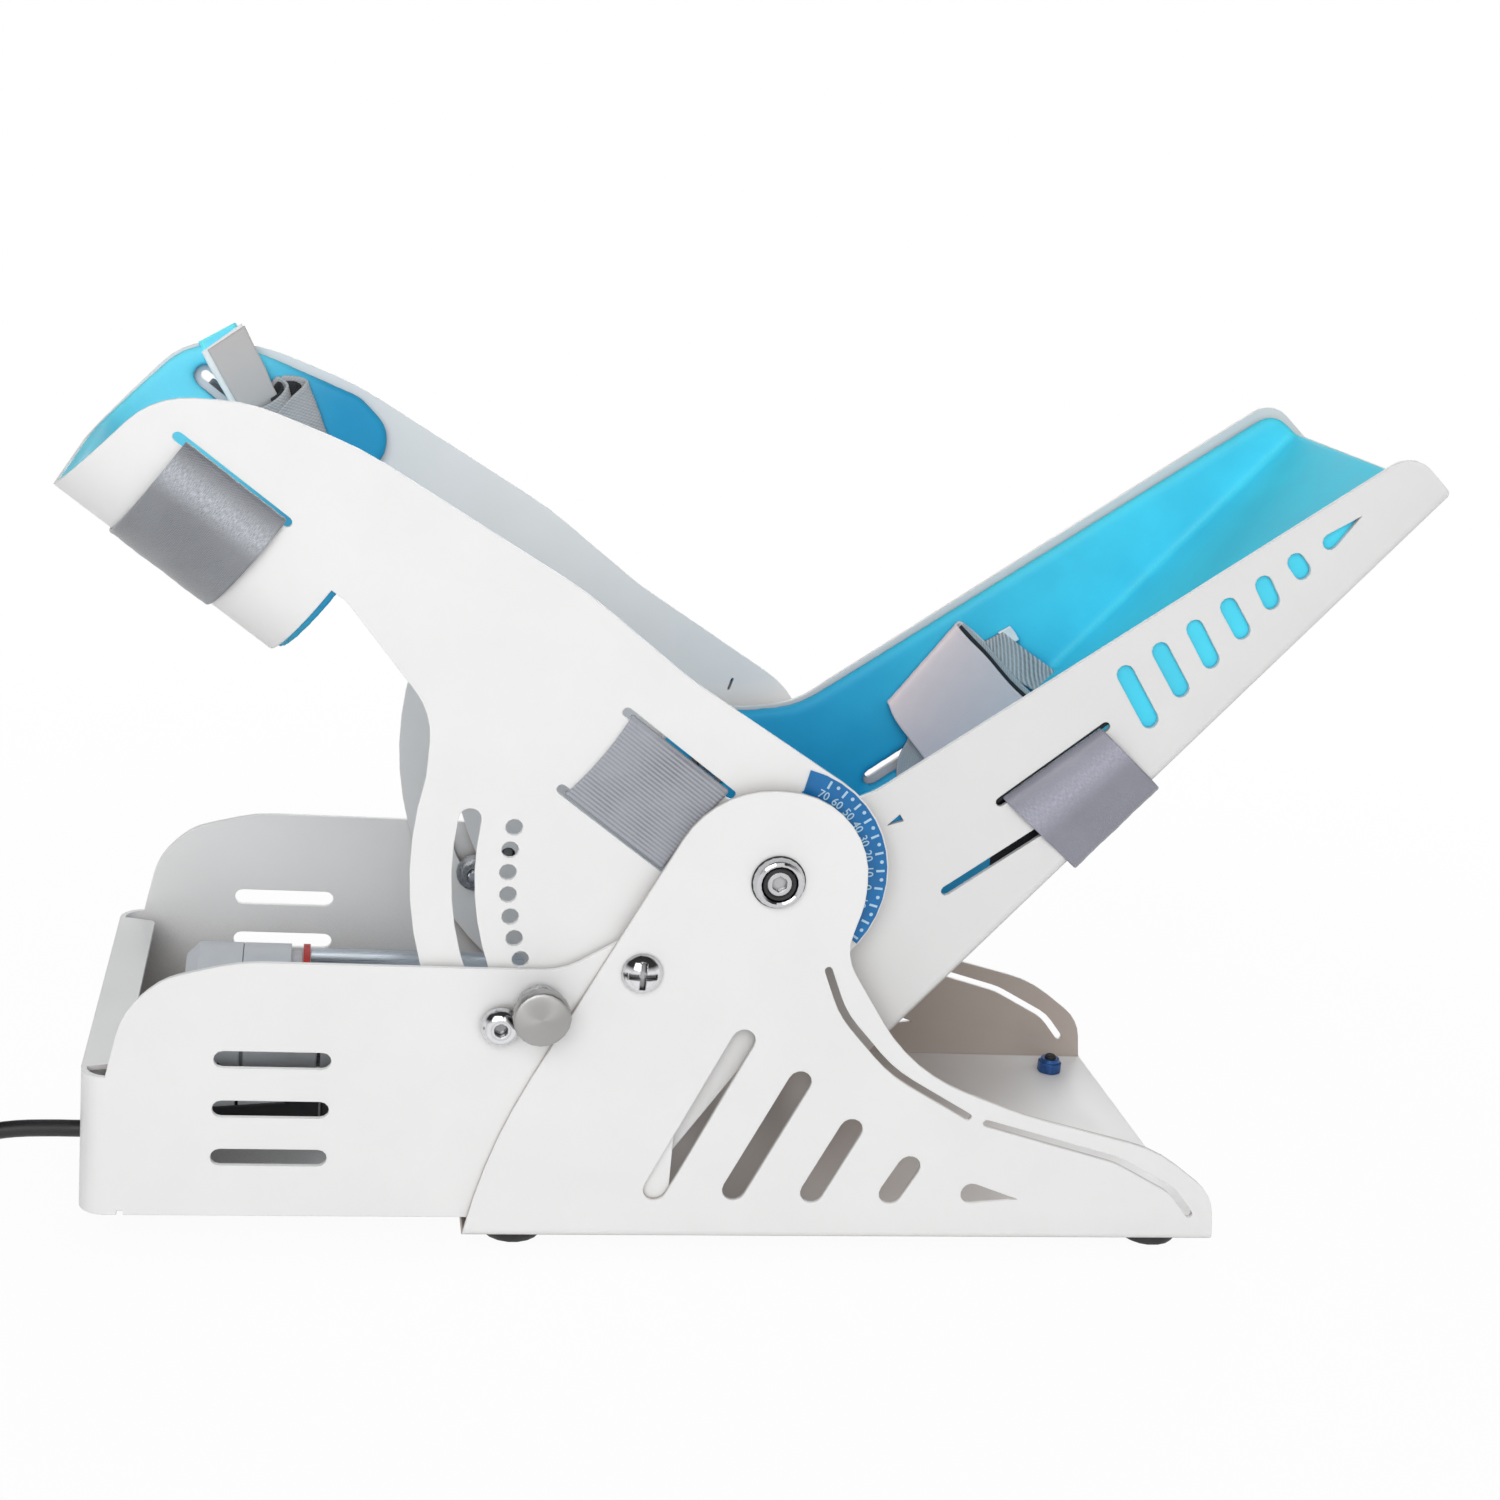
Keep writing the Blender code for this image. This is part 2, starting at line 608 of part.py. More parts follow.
CALF_SLOT_W = 173.8
CALF_SLOT_U = (-264.4, -218.6)
LEG_SLOT_W = (195.6, 158.6)
LEG_SLOT_U = (-82.5, -32.0)


def calf_bracket():
    half = CALF_HALF
    inner = TROUGH_CORNER - SHEET
    piece = extruded("calf_bracket", [calf_outline()], -half, half, side_view, "white_coat", AXLE)
    room = filleted([
        (SHEET - half, OPEN_TOP), (SHEET - half, TROUGH_BOTTOM + SHEET, inner),
        (half - SHEET, TROUGH_BOTTOM + SHEET, inner), (half - SHEET, OPEN_TOP),
    ])
    trough_room = extruded("calf_trough_room", [room], TROUGH_TIP - 20, TROUGH_HEEL + 10, trough)
    box = [(SHEET - half, -OPEN_TOP), (half - SHEET, -OPEN_TOP), (half - SHEET, OPEN_TOP), (SHEET - half, OPEN_TOP)]
    plate_room = extruded("calf_plate_room", [box], TROUGH_HEEL + 5, 300.0, trough)
    corners = []
    for sign in (-1.0, 1.0):
        start = 180.0 if sign < 0 else 360.0
        centre = (sign * (half - TROUGH_CORNER), TROUGH_BOTTOM + TROUGH_CORNER)
        below = TROUGH_BOTTOM - 9
        beside = sign * (half + 9)
        bend = arc(centre, TROUGH_CORNER, start, 270.0)
        corners.append(bend + [(centre[0], below), (beside, below), (beside, centre[1])])
    bends = extruded("calf_trough_bends", corners, TROUGH_TIP - 20, TROUGH_HEEL + 5, trough)
    guide = arc(PIVOT, GUIDE_RADIUS, INDEX_FIRST, INDEX_LAST)
    loops = [stroke(guide, GUIDE_HALF), circle(PIVOT, AXLE_RADIUS + PLAY)]
    loops += [circle(polar(INDEX_RADIUS, INDEX_FIRST + INDEX_STEP * i), PLUNGER_PIN + PLAY)
              for i in range(INDEX_COUNT)]
    loops.append(stroke([on_trough(CALF_SLOT_U[0], CALF_SLOT_W), on_trough(CALF_SLOT_U[1], CALF_SLOT_W)],
                        STRAP_SLOT_HALF))
    loops += [stroke([on_trough(LEG_SLOT_U[0], w), on_trough(LEG_SLOT_U[1], w)], STRAP_SLOT_HALF)
              for w in LEG_SLOT_W]
    loops.append(stroke([(114.2, 175.2), (115.4, 179.6)], 0.65))
    slots = extruded("calf_slots", loops, -half - 9, half + 9, side_view)
    boolean(piece, "DIFFERENCE", trough_room, plate_room, bends, slots)


def calf_pad():
    outer = CALF_HALF - SHEET - GAP
    bottom = TROUGH_BOTTOM + SHEET + GAP
    corner = TROUGH_CORNER - SHEET - GAP
    profile = channel_profile(outer, CALF_FOAM, bottom, corner, OPEN_TOP)
    piece = extruded("calf_pad", [profile], TROUGH_TIP - 9, TROUGH_HEEL + 9, trough, "blue_foam", AXLE)
    front = TROUGH_TIP - 1.5
    heel = TROUGH_HEEL + 3.0
    tip, top, end = CALF_TOP[:3]
    outline = filleted([
        on_trough(front, TROUGH_BOTTOM - 9), (tip[0] + 2.0, tip[1] + 0.4, 28.0), (top[0] - 4.0, top[1] - 1.5, 60.0),
        (end[0] + 1.5, end[1] - 4.5, 14.0), (*on_trough(heel, TROUGH_BOTTOM + 75), 14.0),
        on_trough(heel, TROUGH_BOTTOM - 9),
    ])
    side = extruded("calf_pad_outline", [outline], -CALF_HALF - 5, CALF_HALF + 5, side_view)
    notch = stroke([on_trough(CALF_SLOT_U[0], CALF_SLOT_W), on_trough(CALF_SLOT_U[1], CALF_SLOT_W)], 4.5)
    window = extruded("calf_pad_window", [notch], -CALF_HALF - 5, CALF_HALF + 5, side_view)
    boolean(piece, "INTERSECT", side)
    boolean(piece, "DIFFERENCE", window)


def angle_scales():
    start = 77.5
    end = -37.3
    ring = arc(PIVOT, SCALE_OUTER, start, end) + arc(PIVOT, SCALE_INNER, end, start)
    for side, sign in SIDES.items():
        depths = sorted((sign * (CALF_HALF + 0.1), sign * (CALF_HALF + 0.5)))
        extruded(f"angle_scale_{side}", [ring], *depths, side_view, "blue_scale", AXLE)


def wrapped(half, bottom, corner, rise, tuck):
    """A band round the outside of a U, its two ends turned in through slots at the height rise."""
    out = half + GAP
    low = bottom - GAP
    bend = corner + GAP
    turn = WEB + 0.4
    return filleted([
        (-tuck, rise), (-out - WEB, rise, turn), (-out - WEB, low - WEB, bend + WEB),
        (out + WEB, low - WEB, bend + WEB), (out + WEB, rise, turn), (tuck, rise),
        (tuck, rise - WEB), (out, rise - WEB, 0.4), (out, low, bend),
        (-out, low, bend), (-out, rise - WEB, 0.4), (-tuck, rise - WEB),
    ])


def calf_straps():
    tuck = CALF_HALF - SHEET + 0.2
    profile = wrapped(CALF_HALF, TROUGH_BOTTOM, TROUGH_CORNER, CALF_SLOT_W + WEB / 2, tuck)
    extruded("calf_strap", [profile], CALF_SLOT_U[0] + 3.0, CALF_SLOT_U[1] - 0.4, trough, "grey_web", AXLE)


def calf_strap_roll():
    """The free end of the calf strap: up from the far slot inside the pad, over the edge and folded back."""
    wall = CALF_HALF - SHEET - GAP
    inside = wall - CALF_FOAM - GAP
    top = 204.5
    turn = 2.6
    path = filleted([
        (wall - 0.6, CALF_SLOT_W), (inside - 1.6, CALF_SLOT_W, turn), (inside - 1.6, top + 8, 6.0),
        (CALF_HALF + 8.0, top + 10, 6.0), (CALF_HALF + 6.0, top - 6, 4.0), (CALF_HALF + 2.2, top - 22),
    ], closed=False)
    band = flat_band(path, 1.3)
    extruded("calf_strap_roll", [band], CALF_SLOT_U[0] + 3, CALF_SLOT_U[1] - 3, trough, "grey_web", AXLE)


def flat_band(path, half):
    """The outline of a strip of even thickness with square ends along an open path."""
    left = []
    right = []
    for i, point in enumerate(path):
        before = path[max(i - 1, 0)]
        after = path[min(i + 1, len(path) - 1)]
        heading = math.atan2(after[1] - before[1], after[0] - before[0])
        across = (-math.sin(heading) * half, math.cos(heading) * half)
        left.append((point[0] + across[0], point[1] + across[1]))
        right.append((point[0] - across[0], point[1] - across[1]))
    return right + left[::-1]


def leg_straps():
    """Elastic between the two slots of each calf plate, its ends turned in through them."""
    margin = 1.8
    high = LEG_SLOT_W[0] + WEB / 2
    low = LEG_SLOT_W[1] - WEB / 2
    out = CALF_HALF + GAP
    tuck = CALF_HALF - SHEET + 0.2
    half = [
        (tuck, high), (out + WEB, high, 1.2), (out + WEB, low, 1.2), (tuck, low),
        (tuck, low + WEB), (out, low + WEB, 0.3), (out, high - WEB, 0.3), (tuck, high - WEB),
    ]
    for side, sign in SIDES.items():
        profile = filleted([(sign * corner[0], *corner[1:]) for corner in half])
        extruded(f"leg_strap_{side}", [profile], LEG_SLOT_U[0] + margin, LEG_SLOT_U[1] - margin, trough,
                 "grey_elastic", AXLE)


# Foot bracket and what it carries

FOOT_SLOTS = (
    ((237.6, 228.1), (250.0, 210.6)), ((250.2, 237.8), (260.5, 223.4)), ((262.5, 247.2), (270.8, 235.3)),
    ((274.6, 256.4), (281.4, 247.3)), ((287.2, 265.7), (291.3, 259.5)), ((298.6, 275.1), (301.7, 271.8)),
)
FOOT_STRAP_SLOT = ((195.1, 175.4), (232.7, 207.0))
FOOT_SPARE_SLOT = ((177.9, 138.7), (221.4, 171.2))
FAR_SPARE_RISE = 4.7  # the far plate's spare slot lies this much higher
LUG_ARC = (83.0, 222.0)


def strap_slots(side):
    """Both strap slots of one foot plate, as centre lines."""
    rise = FAR_SPARE_RISE if side == "far" else 0.0
    return [list(FOOT_STRAP_SLOT), shifted(FOOT_SPARE_SLOT, 0.0, rise)]


def foot_outline():
    toe_rise = 24.26
    lug = [polar(LUG_RADIUS, angle) for angle in LUG_ARC]
    line = [
        (*lug[1], 0.0), (*on_sole(SOLE_HEEL, 0.0), 12.0), (*on_sole(SOLE_HEEL + 24, 0.0), 0.0),
        (*on_sole(SOLE_TOE, 0.0), 3.0), (*on_sole(SOLE_TOE, toe_rise), 12.0),
    ]
    along = math.radians(TOP_EDGE_TILT)
    blend = (PIVOT[0] + 44 * math.cos(along), PIVOT[1] + 44 * math.sin(along))
    line += [(*blend, 0.0)]
    points = filleted(line, closed=False)[:-1]
    fillet = [(156.0, 184.8), (141.5, 173.6, 40.0), (118.0, 170.6, 10.0), lug[0]]
    points += filleted(fillet, closed=False)[:-1]
    points += arc(PIVOT, LUG_RADIUS, *LUG_ARC)[:-1]
    return points


def foot_bracket():
    profile = channel_profile(FOOT_HALF, SHEET, 0.0, SOLE_BEND, OPEN_TOP)
    piece = extruded("foot_bracket", [profile], SOLE_HEEL - 160, SOLE_TOE + 20, sole, "white_coat", AXLE)
    side = extruded("foot_side_outline", [foot_outline()], -FOOT_HALF - 5, FOOT_HALF + 5, side_view)
    loops = [stroke(list(ends), 3.5) for ends in FOOT_SLOTS]
    loops.append(teardrop((311.1, 283.6), 3.2, (322.2, 294.3)))
    loops.append(circle(PIVOT, AXLE_RADIUS + PLAY))
    loops.append([polar(46.8, 21.6), polar(53.8, 21.2), polar(53.2, 24.6)])
    slots = extruded("foot_slots", loops, -FOOT_HALF - 8, FOOT_HALF + 8, side_view)
    boolean(piece, "INTERSECT", side)
    boolean(piece, "DIFFERENCE", slots)
    for name, sign in SIDES.items():
        lines = [stroke(line, STRAP_SLOT_HALF) for line in strap_slots(name)]
        depths = sorted((sign * 40.0, sign * (FOOT_HALF + 8)))
        boolean(piece, "DIFFERENCE", extruded(f"foot_strap_slots_{name}", lines, *depths, side_view))


def foot_pad():
    outer = FOOT_HALF - SHEET - GAP
    low = SHEET + GAP
    profile = channel_profile(outer, FOOT_FOAM, low, SOLE_BEND - SHEET, OPEN_TOP)
    inset = 0.8
    heel = SOLE_HEEL + 4.0
    toe = SOLE_TOE - 3.0
    piece = extruded("foot_pad", [profile], heel - 60, toe + 40, sole, "blue_foam", AXLE)
    lug = [polar(LUG_RADIUS - inset, angle) for angle in LUG_ARC]
    outline = filleted([
        lug[1], on_sole(heel, -5.0), on_sole(toe, -5.0), (*on_sole(toe, 21.0), 10.0),
        (156.0, 183.0, 14.0), (141.5, 172.8, 40.0), (118.0, 169.8, 10.0), lug[0],
    ], closed=False)[:-1]
    outline += arc(PIVOT, LUG_RADIUS - inset, *LUG_ARC)[:-1]
    side = extruded("foot_pad_outline", [outline], -FOOT_HALF - 5, FOOT_HALF + 5, side_view)
    nut_hole = extruded("foot_pad_nut_hole", [circle(PIVOT, 10.5)], -FOOT_HALF - 5, FOOT_HALF + 5, side_view)
    boolean(piece, "INTERSECT", side)
    boolean(piece, "DIFFERENCE", nut_hole)
    for name, sign in SIDES.items():
        lines = [stroke(shifted(line, 0.0, -1.4), 3.4) for line in strap_slots(name)]
        depths = sorted((sign * 40.0, sign * (FOOT_HALF + 5)))
        boolean(piece, "DIFFERENCE", extruded(f"foot_pad_windows_{name}", lines, *depths, side_view))


def foot_straps():
    low = 81.0
    high = 126.0
    top = 60.0
    out = FOOT_HALF + GAP
    under = -3.4  # the strap hangs this far below the sole
    bend = SOLE_BEND + GAP
    profile = filleted([
        (-out - WEB, top), (-out - WEB, under - WEB, bend + WEB), (out + WEB, under - WEB, bend + WEB),
        (out + WEB, top), (out, top), (out, under, bend), (-out, under, bend), (-out, top),
    ])
    piece = extruded("foot_strap", [profile], low, high, sole, "grey_web", AXLE)
    (ax, az), (bx, bz) = FOOT_STRAP_SLOT
    dx = bx - ax
    dz = bz - az
    over = [(ax - dx, az - dz), (bx + dx, bz + dz)]
    over += shifted(reversed(over), -2 * dz, 2 * dx)
    trim = extruded("foot_strap_trim", [over], -FOOT_HALF - 9, FOOT_HALF + 9, side_view)
    boolean(piece, "DIFFERENCE", trim)


def foot_strap_loop():
    """The free end of the foot strap, folded down against the far foam."""
    face = FOOT_HALF - SHEET - GAP - FOOT_FOAM - GAP
    thick = 2.6
    loop = filleted([
        (209.5, 200.5, 6.0), (184.5, 176.0, 3.0), (204.0, 150.5, 4.0), (240.0, 185.0, 4.0), (222.0, 203.0, 6.0),
    ])
    extruded("foot_strap_loop", [loop], face - thick, face, side_view, "grey_web", AXLE)


def drive_lever():
    """The lever under the heel that takes the thrust of the rod."""
    pin = (PIVOT[0], DRIVE_Z)
    under = -GAP
    boss = 9.0
    flange = extruded("drive_lever", [filleted([
        on_sole(-8.0, under - 1.0), on_sole(-8.0, under - 6.0), (*on_sole(-22.0, under - 13.0), 10.0),
        (*polar(boss, -62.0, pin), 0.0), *arc(pin, boss, -70.0, -200.0)[1:-1],
        (*polar(boss, 160.0, pin), 0.0), (*on_sole(-52.0, 27.0), 8.0), (*on_sole(SOLE_HEEL - 2.0, 6.0), 3.0),
        (*on_sole(SOLE_HEEL - 2.0, under - 1.0), 0.0),
    ])], DRIVE_Y - LEVER_HALF, DRIVE_Y + LEVER_HALF, side_view, "steel", AXLE)
    near = DRIVE_Y - 14.0
    far = DRIVE_Y + 14.0
    foot = [(near, under), (near, under - 4.0), (far, under - 4.0), (far, under)]
    flange_plate = extruded("lever_flange", [foot], SOLE_HEEL + 3.0, -5.0, sole)
    eye = extruded("lever_eye", [circle(pin, PIN_RADIUS + 0.15)], DRIVE_Y - 20, DRIVE_Y + 20, side_view)
    boolean(flange, "UNION", flange_plate)
    boolean(flange, "DIFFERENCE", eye)
    reach = LEVER_HALF + 0.6 + CHEEK + 1.5
    turned("drive_pin", [
        (-reach, 0.0), (-reach, PIN_RADIUS - 0.6), (0.6 - reach, PIN_RADIUS), (reach - 0.6, PIN_RADIUS),
        (reach, PIN_RADIUS - 0.6), (reach, 0.0),
    ], (pin[0], DRIVE_Y, pin[1]), (0.0, 1.0, 0.0), "steel", AXLE)


# Linear drive in the housing

def linear_drive():
    centre = (0.0, DRIVE_Y, DRIVE_Z)
    axis = (1.0, 0.0, 0.0)
    full = DRIVE_RADIUS
    turned("drive_end_cap", [
        (DRIVE_REAR + 2.0, 0.0), (DRIVE_REAR + 2.0, 9.0), (DRIVE_REAR, 10.0), (DRIVE_REAR, full - 5.0),
        (DRIVE_REAR + 5.0, full), (DRIVE_SEAM - GAP, full), (DRIVE_SEAM - GAP, 0.0),
    ], centre, axis, "drive_plastic", segments=30)
    turned("drive_gear_case", [
        (BORE_END, 0.0), (BORE_END, ROD_BORE), (GASKET_X - GAP, ROD_BORE), (GASKET_X - GAP, full - 3.0),
        (GROOVE_X, full - 3.0), (GROOVE_X, full), (DRIVE_SEAM, full), (DRIVE_SEAM, 0.0),
    ], centre, axis, "drive_plastic", segments=30)
    turned("drive_gasket", [
        (GASKET_X, ROD_BORE + 1), (GASKET_X, full), (TUBE_X - GAP, full), (TUBE_X - GAP, ROD_BORE + 1),
    ], centre, axis, "red_ring", segments=30, ring=True)
    turned("drive_tube", [
        (TUBE_X, ROD_BORE), (TUBE_X, TUBE_RADIUS), (TUBE_END - 3.0, TUBE_RADIUS),
        (TUBE_END - 3.0, TUBE_RADIUS - 3.0), (TUBE_END, TUBE_RADIUS - 5.0), (TUBE_END, ROD_BORE),
    ], centre, axis, "drive_tube", segments=30, ring=True)
    shelf = HOUSING_BOTTOM + SHEET + 0.2
    for name, x, radius in (("rear", -100.0, full), ("front", -14.0, TUBE_RADIUS)):
        seat = radius + GAP
        wide = 21.0
        high = DRIVE_Z - math.sqrt(seat ** 2 - wide ** 2)
        cradle = arc((DRIVE_Y, DRIVE_Z), seat, math.degrees(math.atan2(high - DRIVE_Z, wide)),
                     math.degrees(math.atan2(high - DRIVE_Z, -wide)))
        block = cradle + [(DRIVE_Y - wide - 6, high), (DRIVE_Y - wide - 6, shelf), (DRIVE_Y + wide + 6, shelf),
                          (DRIVE_Y + wide + 6, high)]
        extruded(f"drive_saddle_{name}", [block], x - 5, x + 5, cross_section, "black_plastic")
    box = [(DRIVE_Y - 50, shelf), (DRIVE_Y - 30, shelf), (DRIVE_Y - 30, 27.0), (DRIVE_Y - 50, 27.0)]
    rounded(extruded("controller_box", [box], CONTROLLER_REAR, 5.0, cross_section, "black_plastic"), 1.5)


def drive_rod():
    """The thrust rod and its yoke: two cheeks with an upright slot that the pin rides in."""
    pin_x = PIVOT[0]
    back = pin_x - YOKE_REACH
    swing_rise = CRANK * (1 - math.cos(math.radians(FOOT_SWING)))
    inner = LEVER_HALF + 0.6
    outer = inner + CHEEK
    low = DRIVE_Z - 12.0
    high = DRIVE_Z + swing_rise + 12.0
    front = pin_x + 11.0
    rear = back - 8.0
    block = filleted([(rear, low, 4.0), (front, low, 9.0), (front, high, 9.0), (rear, high, 9.0)])
    origin = (pin_x, DRIVE_Y, DRIVE_Z)
    piece = extruded("drive_rod", [block], DRIVE_Y - outer, DRIVE_Y + outer, side_view, "steel", origin)
    rod = turned("rod_bar", [(ROD_REAR, 0.0), (ROD_REAR, ROD_RADIUS), (back, ROD_RADIUS), (back, 0.0)],
                 (0.0, DRIVE_Y, DRIVE_Z), (1.0, 0.0, 0.0))
    gap = [(back, low - 9), (front + 9, low - 9), (front + 9, high + 9), (back, high + 9)]
    throat = extruded("rod_throat", [gap], DRIVE_Y - inner, DRIVE_Y + inner, side_view)
    slot = stroke([(pin_x, DRIVE_Z - PIN_PLAY), (pin_x, DRIVE_Z + swing_rise + PIN_PLAY)], PIN_RADIUS + PIN_PLAY)
    window = extruded("rod_window", [slot], DRIVE_Y - outer - 5, DRIVE_Y + outer + 5, side_view)
    boolean(piece, "UNION", rod)
    boolean(piece, "DIFFERENCE", throat, window)


# Power cord

COIL_Y = CORD_Y - COIL_OUTER
COIL_Z = COIL_LIFT + CORD / 2 - RUBBER_HEIGHT


def tube(name, points, slot, smoothness=2):
    """A cord as a curve with a round bevel and filled caps."""
    data = bpy.data.curves.new(name, "CURVE")
    data.dimensions = "3D"
    data.bevel_depth = MM * CORD / 2
    data.bevel_resolution = smoothness
    data.use_fill_caps = True
    spline = data.splines.new("POLY")
    spline.points.add(len(points) - 1)
    for place, point in zip(spline.points, points):
        place.co = (MM * (point[0] - MID_X), MM * point[1], MM * point[2], 1.0)
    data.materials.append(material(slot))
    obj = bpy.data.objects.new(name, data)
    bpy.context.scene.collection.objects.link(obj)
    return obj


def coil_route():
    """Three turns in, a climb, three turns out on top, with a straight piece of one diameter at each end."""
    points = [(COIL_X + CORD, COIL_Y + COIL_OUTER, COIL_Z)]
    inner = COIL_OUTER - COIL_PITCH * COIL_TURNS
    quarter = COIL_POINTS // 4
    total = 2 * COIL_TURNS * COIL_POINTS + quarter
    for i in range(total + 1):
        turn = math.radians(90 + 360 * i / COIL_POINTS)
        if i <= COIL_TURNS * COIL_POINTS:
            radius = COIL_OUTER - COIL_PITCH * i / COIL_POINTS
            rise = 0.0
        elif i <= COIL_TURNS * COIL_POINTS + quarter:
            share = (i - COIL_TURNS * COIL_POINTS) / quarter
            radius = inner
            rise = COIL_PITCH * share
        else:
            radius = inner + COIL_PITCH * (i - COIL_TURNS * COIL_POINTS - quarter) / COIL_POINTS
            radius += COIL_FLARE * max(0.0, 1 - (total - i) / quarter) ** 2
            rise = COIL_PITCH
        points.append((COIL_X + radius * math.cos(turn), COIL_Y + radius * math.sin(turn), COIL_Z + rise))
    last = points[-1]
    points.append((last[0], last[1] - CORD, last[2]))
    return points


def least_gap(points):
    """The smallest gap between stretches of the route that aren't neighbours along it."""
    near = 10 ** 9
    fine = []
    for a, b in zip(points, points[1:]):
        fine += [tuple(a[k] + (b[k] - a[k]) * j / 4 for k in range(3)) for j in range(4)]
    skip = COIL_POINTS * 2
    for i in range(len(fine)):
        for j in range(i + skip, len(fine)):
            near = min(near, math.dist(fine[i], fine[j]))
    return near - CORD


LEAD_SIDE = (
    (-54.3, CORD_Z), (-68.5, CORD_Z), (-83.0, CORD_Z), (-97.5, CORD_Z), (-112.0, CORD_Z), (-126.0, CORD_Z),
    (-140.0, CORD_Z), (-155.0, CORD_Z), (-168.0, 20.9), (-180.5, 18.7), (-192.0, 14.4), (-202.4, 8.7),
    (-211.8, 3.0), (-221.0, -1.2), (-229.2, -3.1), (COIL_X + CORD + GAP, COIL_Z),
)  # x and z of the lead, from the controller through the rear wall and down to the floor


def power_cord():
    rear = HOUSING_REAR
    bore = CORD / 2 + 0.3
    turned("cord_gland", [
        (rear - 1.6, bore), (rear - 1.6, GLAND_RADIUS + 0.6), (rear - 0.3, GLAND_RADIUS + 1.4),
        (rear - 0.3, GLAND_RADIUS), (rear + SHEET + 0.3, GLAND_RADIUS), (rear + SHEET + 0.3, GLAND_RADIUS + 2.0),
        (rear + 7.0, GLAND_RADIUS + 1.6), (rear + GLAND_REACH, bore + 0.9), (rear + GLAND_REACH, bore),
    ], (0.0, CORD_Y, CORD_Z), (1.0, 0.0, 0.0), "black_rubber", ring=True)
    tube("cord_lead", [(x, CORD_Y, z) for x, z in LEAD_SIDE], "cord_black")
    route = coil_route()
    tube("cord_coil", route, "cord_black", smoothness=1)
    print(f"cord_coil least gap to itself {least_gap(route):.2f} mm")
    inner = COIL_OUTER - COIL_PITCH * COIL_TURNS - CORD / 2 - 0.4
    outer = COIL_OUTER + CORD / 2 + 0.4
    low = COIL_Z - CORD / 2 - 0.4
    high = COIL_Z + COIL_PITCH + CORD / 2 + 0.4
    skin = 0.8
    ring = filleted([
        (COIL_Y - outer - skin, low - skin, 3.0), (COIL_Y - inner + skin, low - skin, 3.0),
        (COIL_Y - inner + skin, high + skin, 3.0), (COIL_Y - outer - skin, high + skin, 3.0),
    ])
    room = filleted([
        (COIL_Y - outer, low, 2.2), (COIL_Y - inner, low, 2.2),
        (COIL_Y - inner, high, 2.2), (COIL_Y - outer, high, 2.2),
    ])
    tie = extruded("cord_tie", [ring], COIL_X - 4.0, COIL_X + 4.0, cross_section, "black_plastic")
    boolean(tie, "DIFFERENCE", extruded("cord_tie_room", [room], COIL_X - 9.0, COIL_X + 9.0, cross_section))
    end = route[-1]
    body = [(-9.5, -11.8), (9.5, -11.8), (9.5, 11.8), (-9.5, 11.8)]
    top = end[1] - GAP
    plug = extruded("cord_plug", [filleted([(end[0] + a, end[2] + b, 5.0) for a, b in body])],
                    top - 34.0, top - 10.0, side_view, "black_plastic")
    neck = extruded("plug_neck", [circle((end[0], end[2]), 5.0)], top - 14.0, top, side_view)
    pins = [circle((end[0], end[2] + z), 2.0) for z in (-6.5, 6.5)]
    prongs = extruded("plug_prongs", pins, top - 52.0, top - 30.0, side_view)
    boolean(plug, "UNION", neck, prongs)


def main():
    clear_scene()
    base_channel()
    rubber_feet()
    rear_housing()
    fasteners()
    calf_bracket()
    calf_pad()
    angle_scales()
    calf_straps()
    calf_strap_roll()
    leg_straps()
    foot_bracket()
    foot_pad()
    foot_straps()
    foot_strap_loop()
    drive_lever()
    linear_drive()
    drive_rod()
    power_cord()


main()
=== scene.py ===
"""Finished look of the electric ankle trainer, laid out as an add-on and run as a script.

Lengths in the drawing tables are millimetres in the base's own coordinates: x from the rear lower corner of the
base channel, y from the middle plane with the viewer on the negative side, z from the underside of its floor.
"""

import math

import bmesh
import bpy
from bpy.props import FloatProperty, FloatVectorProperty, IntProperty, PointerProperty
from mathutils import Euler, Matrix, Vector


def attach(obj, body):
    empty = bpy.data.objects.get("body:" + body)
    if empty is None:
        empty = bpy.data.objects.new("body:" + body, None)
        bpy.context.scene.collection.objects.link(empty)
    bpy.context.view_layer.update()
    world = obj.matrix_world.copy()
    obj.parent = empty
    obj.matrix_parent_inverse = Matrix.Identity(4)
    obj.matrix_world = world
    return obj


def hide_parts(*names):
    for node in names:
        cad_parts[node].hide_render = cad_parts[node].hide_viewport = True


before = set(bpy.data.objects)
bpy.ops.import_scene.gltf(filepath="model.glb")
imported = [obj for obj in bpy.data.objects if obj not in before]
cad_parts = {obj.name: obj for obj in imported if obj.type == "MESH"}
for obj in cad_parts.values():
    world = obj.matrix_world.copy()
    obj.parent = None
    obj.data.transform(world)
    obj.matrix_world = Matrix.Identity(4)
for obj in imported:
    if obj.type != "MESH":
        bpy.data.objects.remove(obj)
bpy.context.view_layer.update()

bl_info = {
    "name": "Ankle trainer finish",
    "version": (1, 0, 0),
    "blender": (4, 5, 0),
    "location": "View3D > Sidebar > Trainer",
    "description": "Coats, foams, webbing, cord and studio of an electric ankle trainer",
    "category": "Object",
}

MM = 0.001
MID_X = 150.5
SIDES = {"near": -1.0, "far": 1.0}

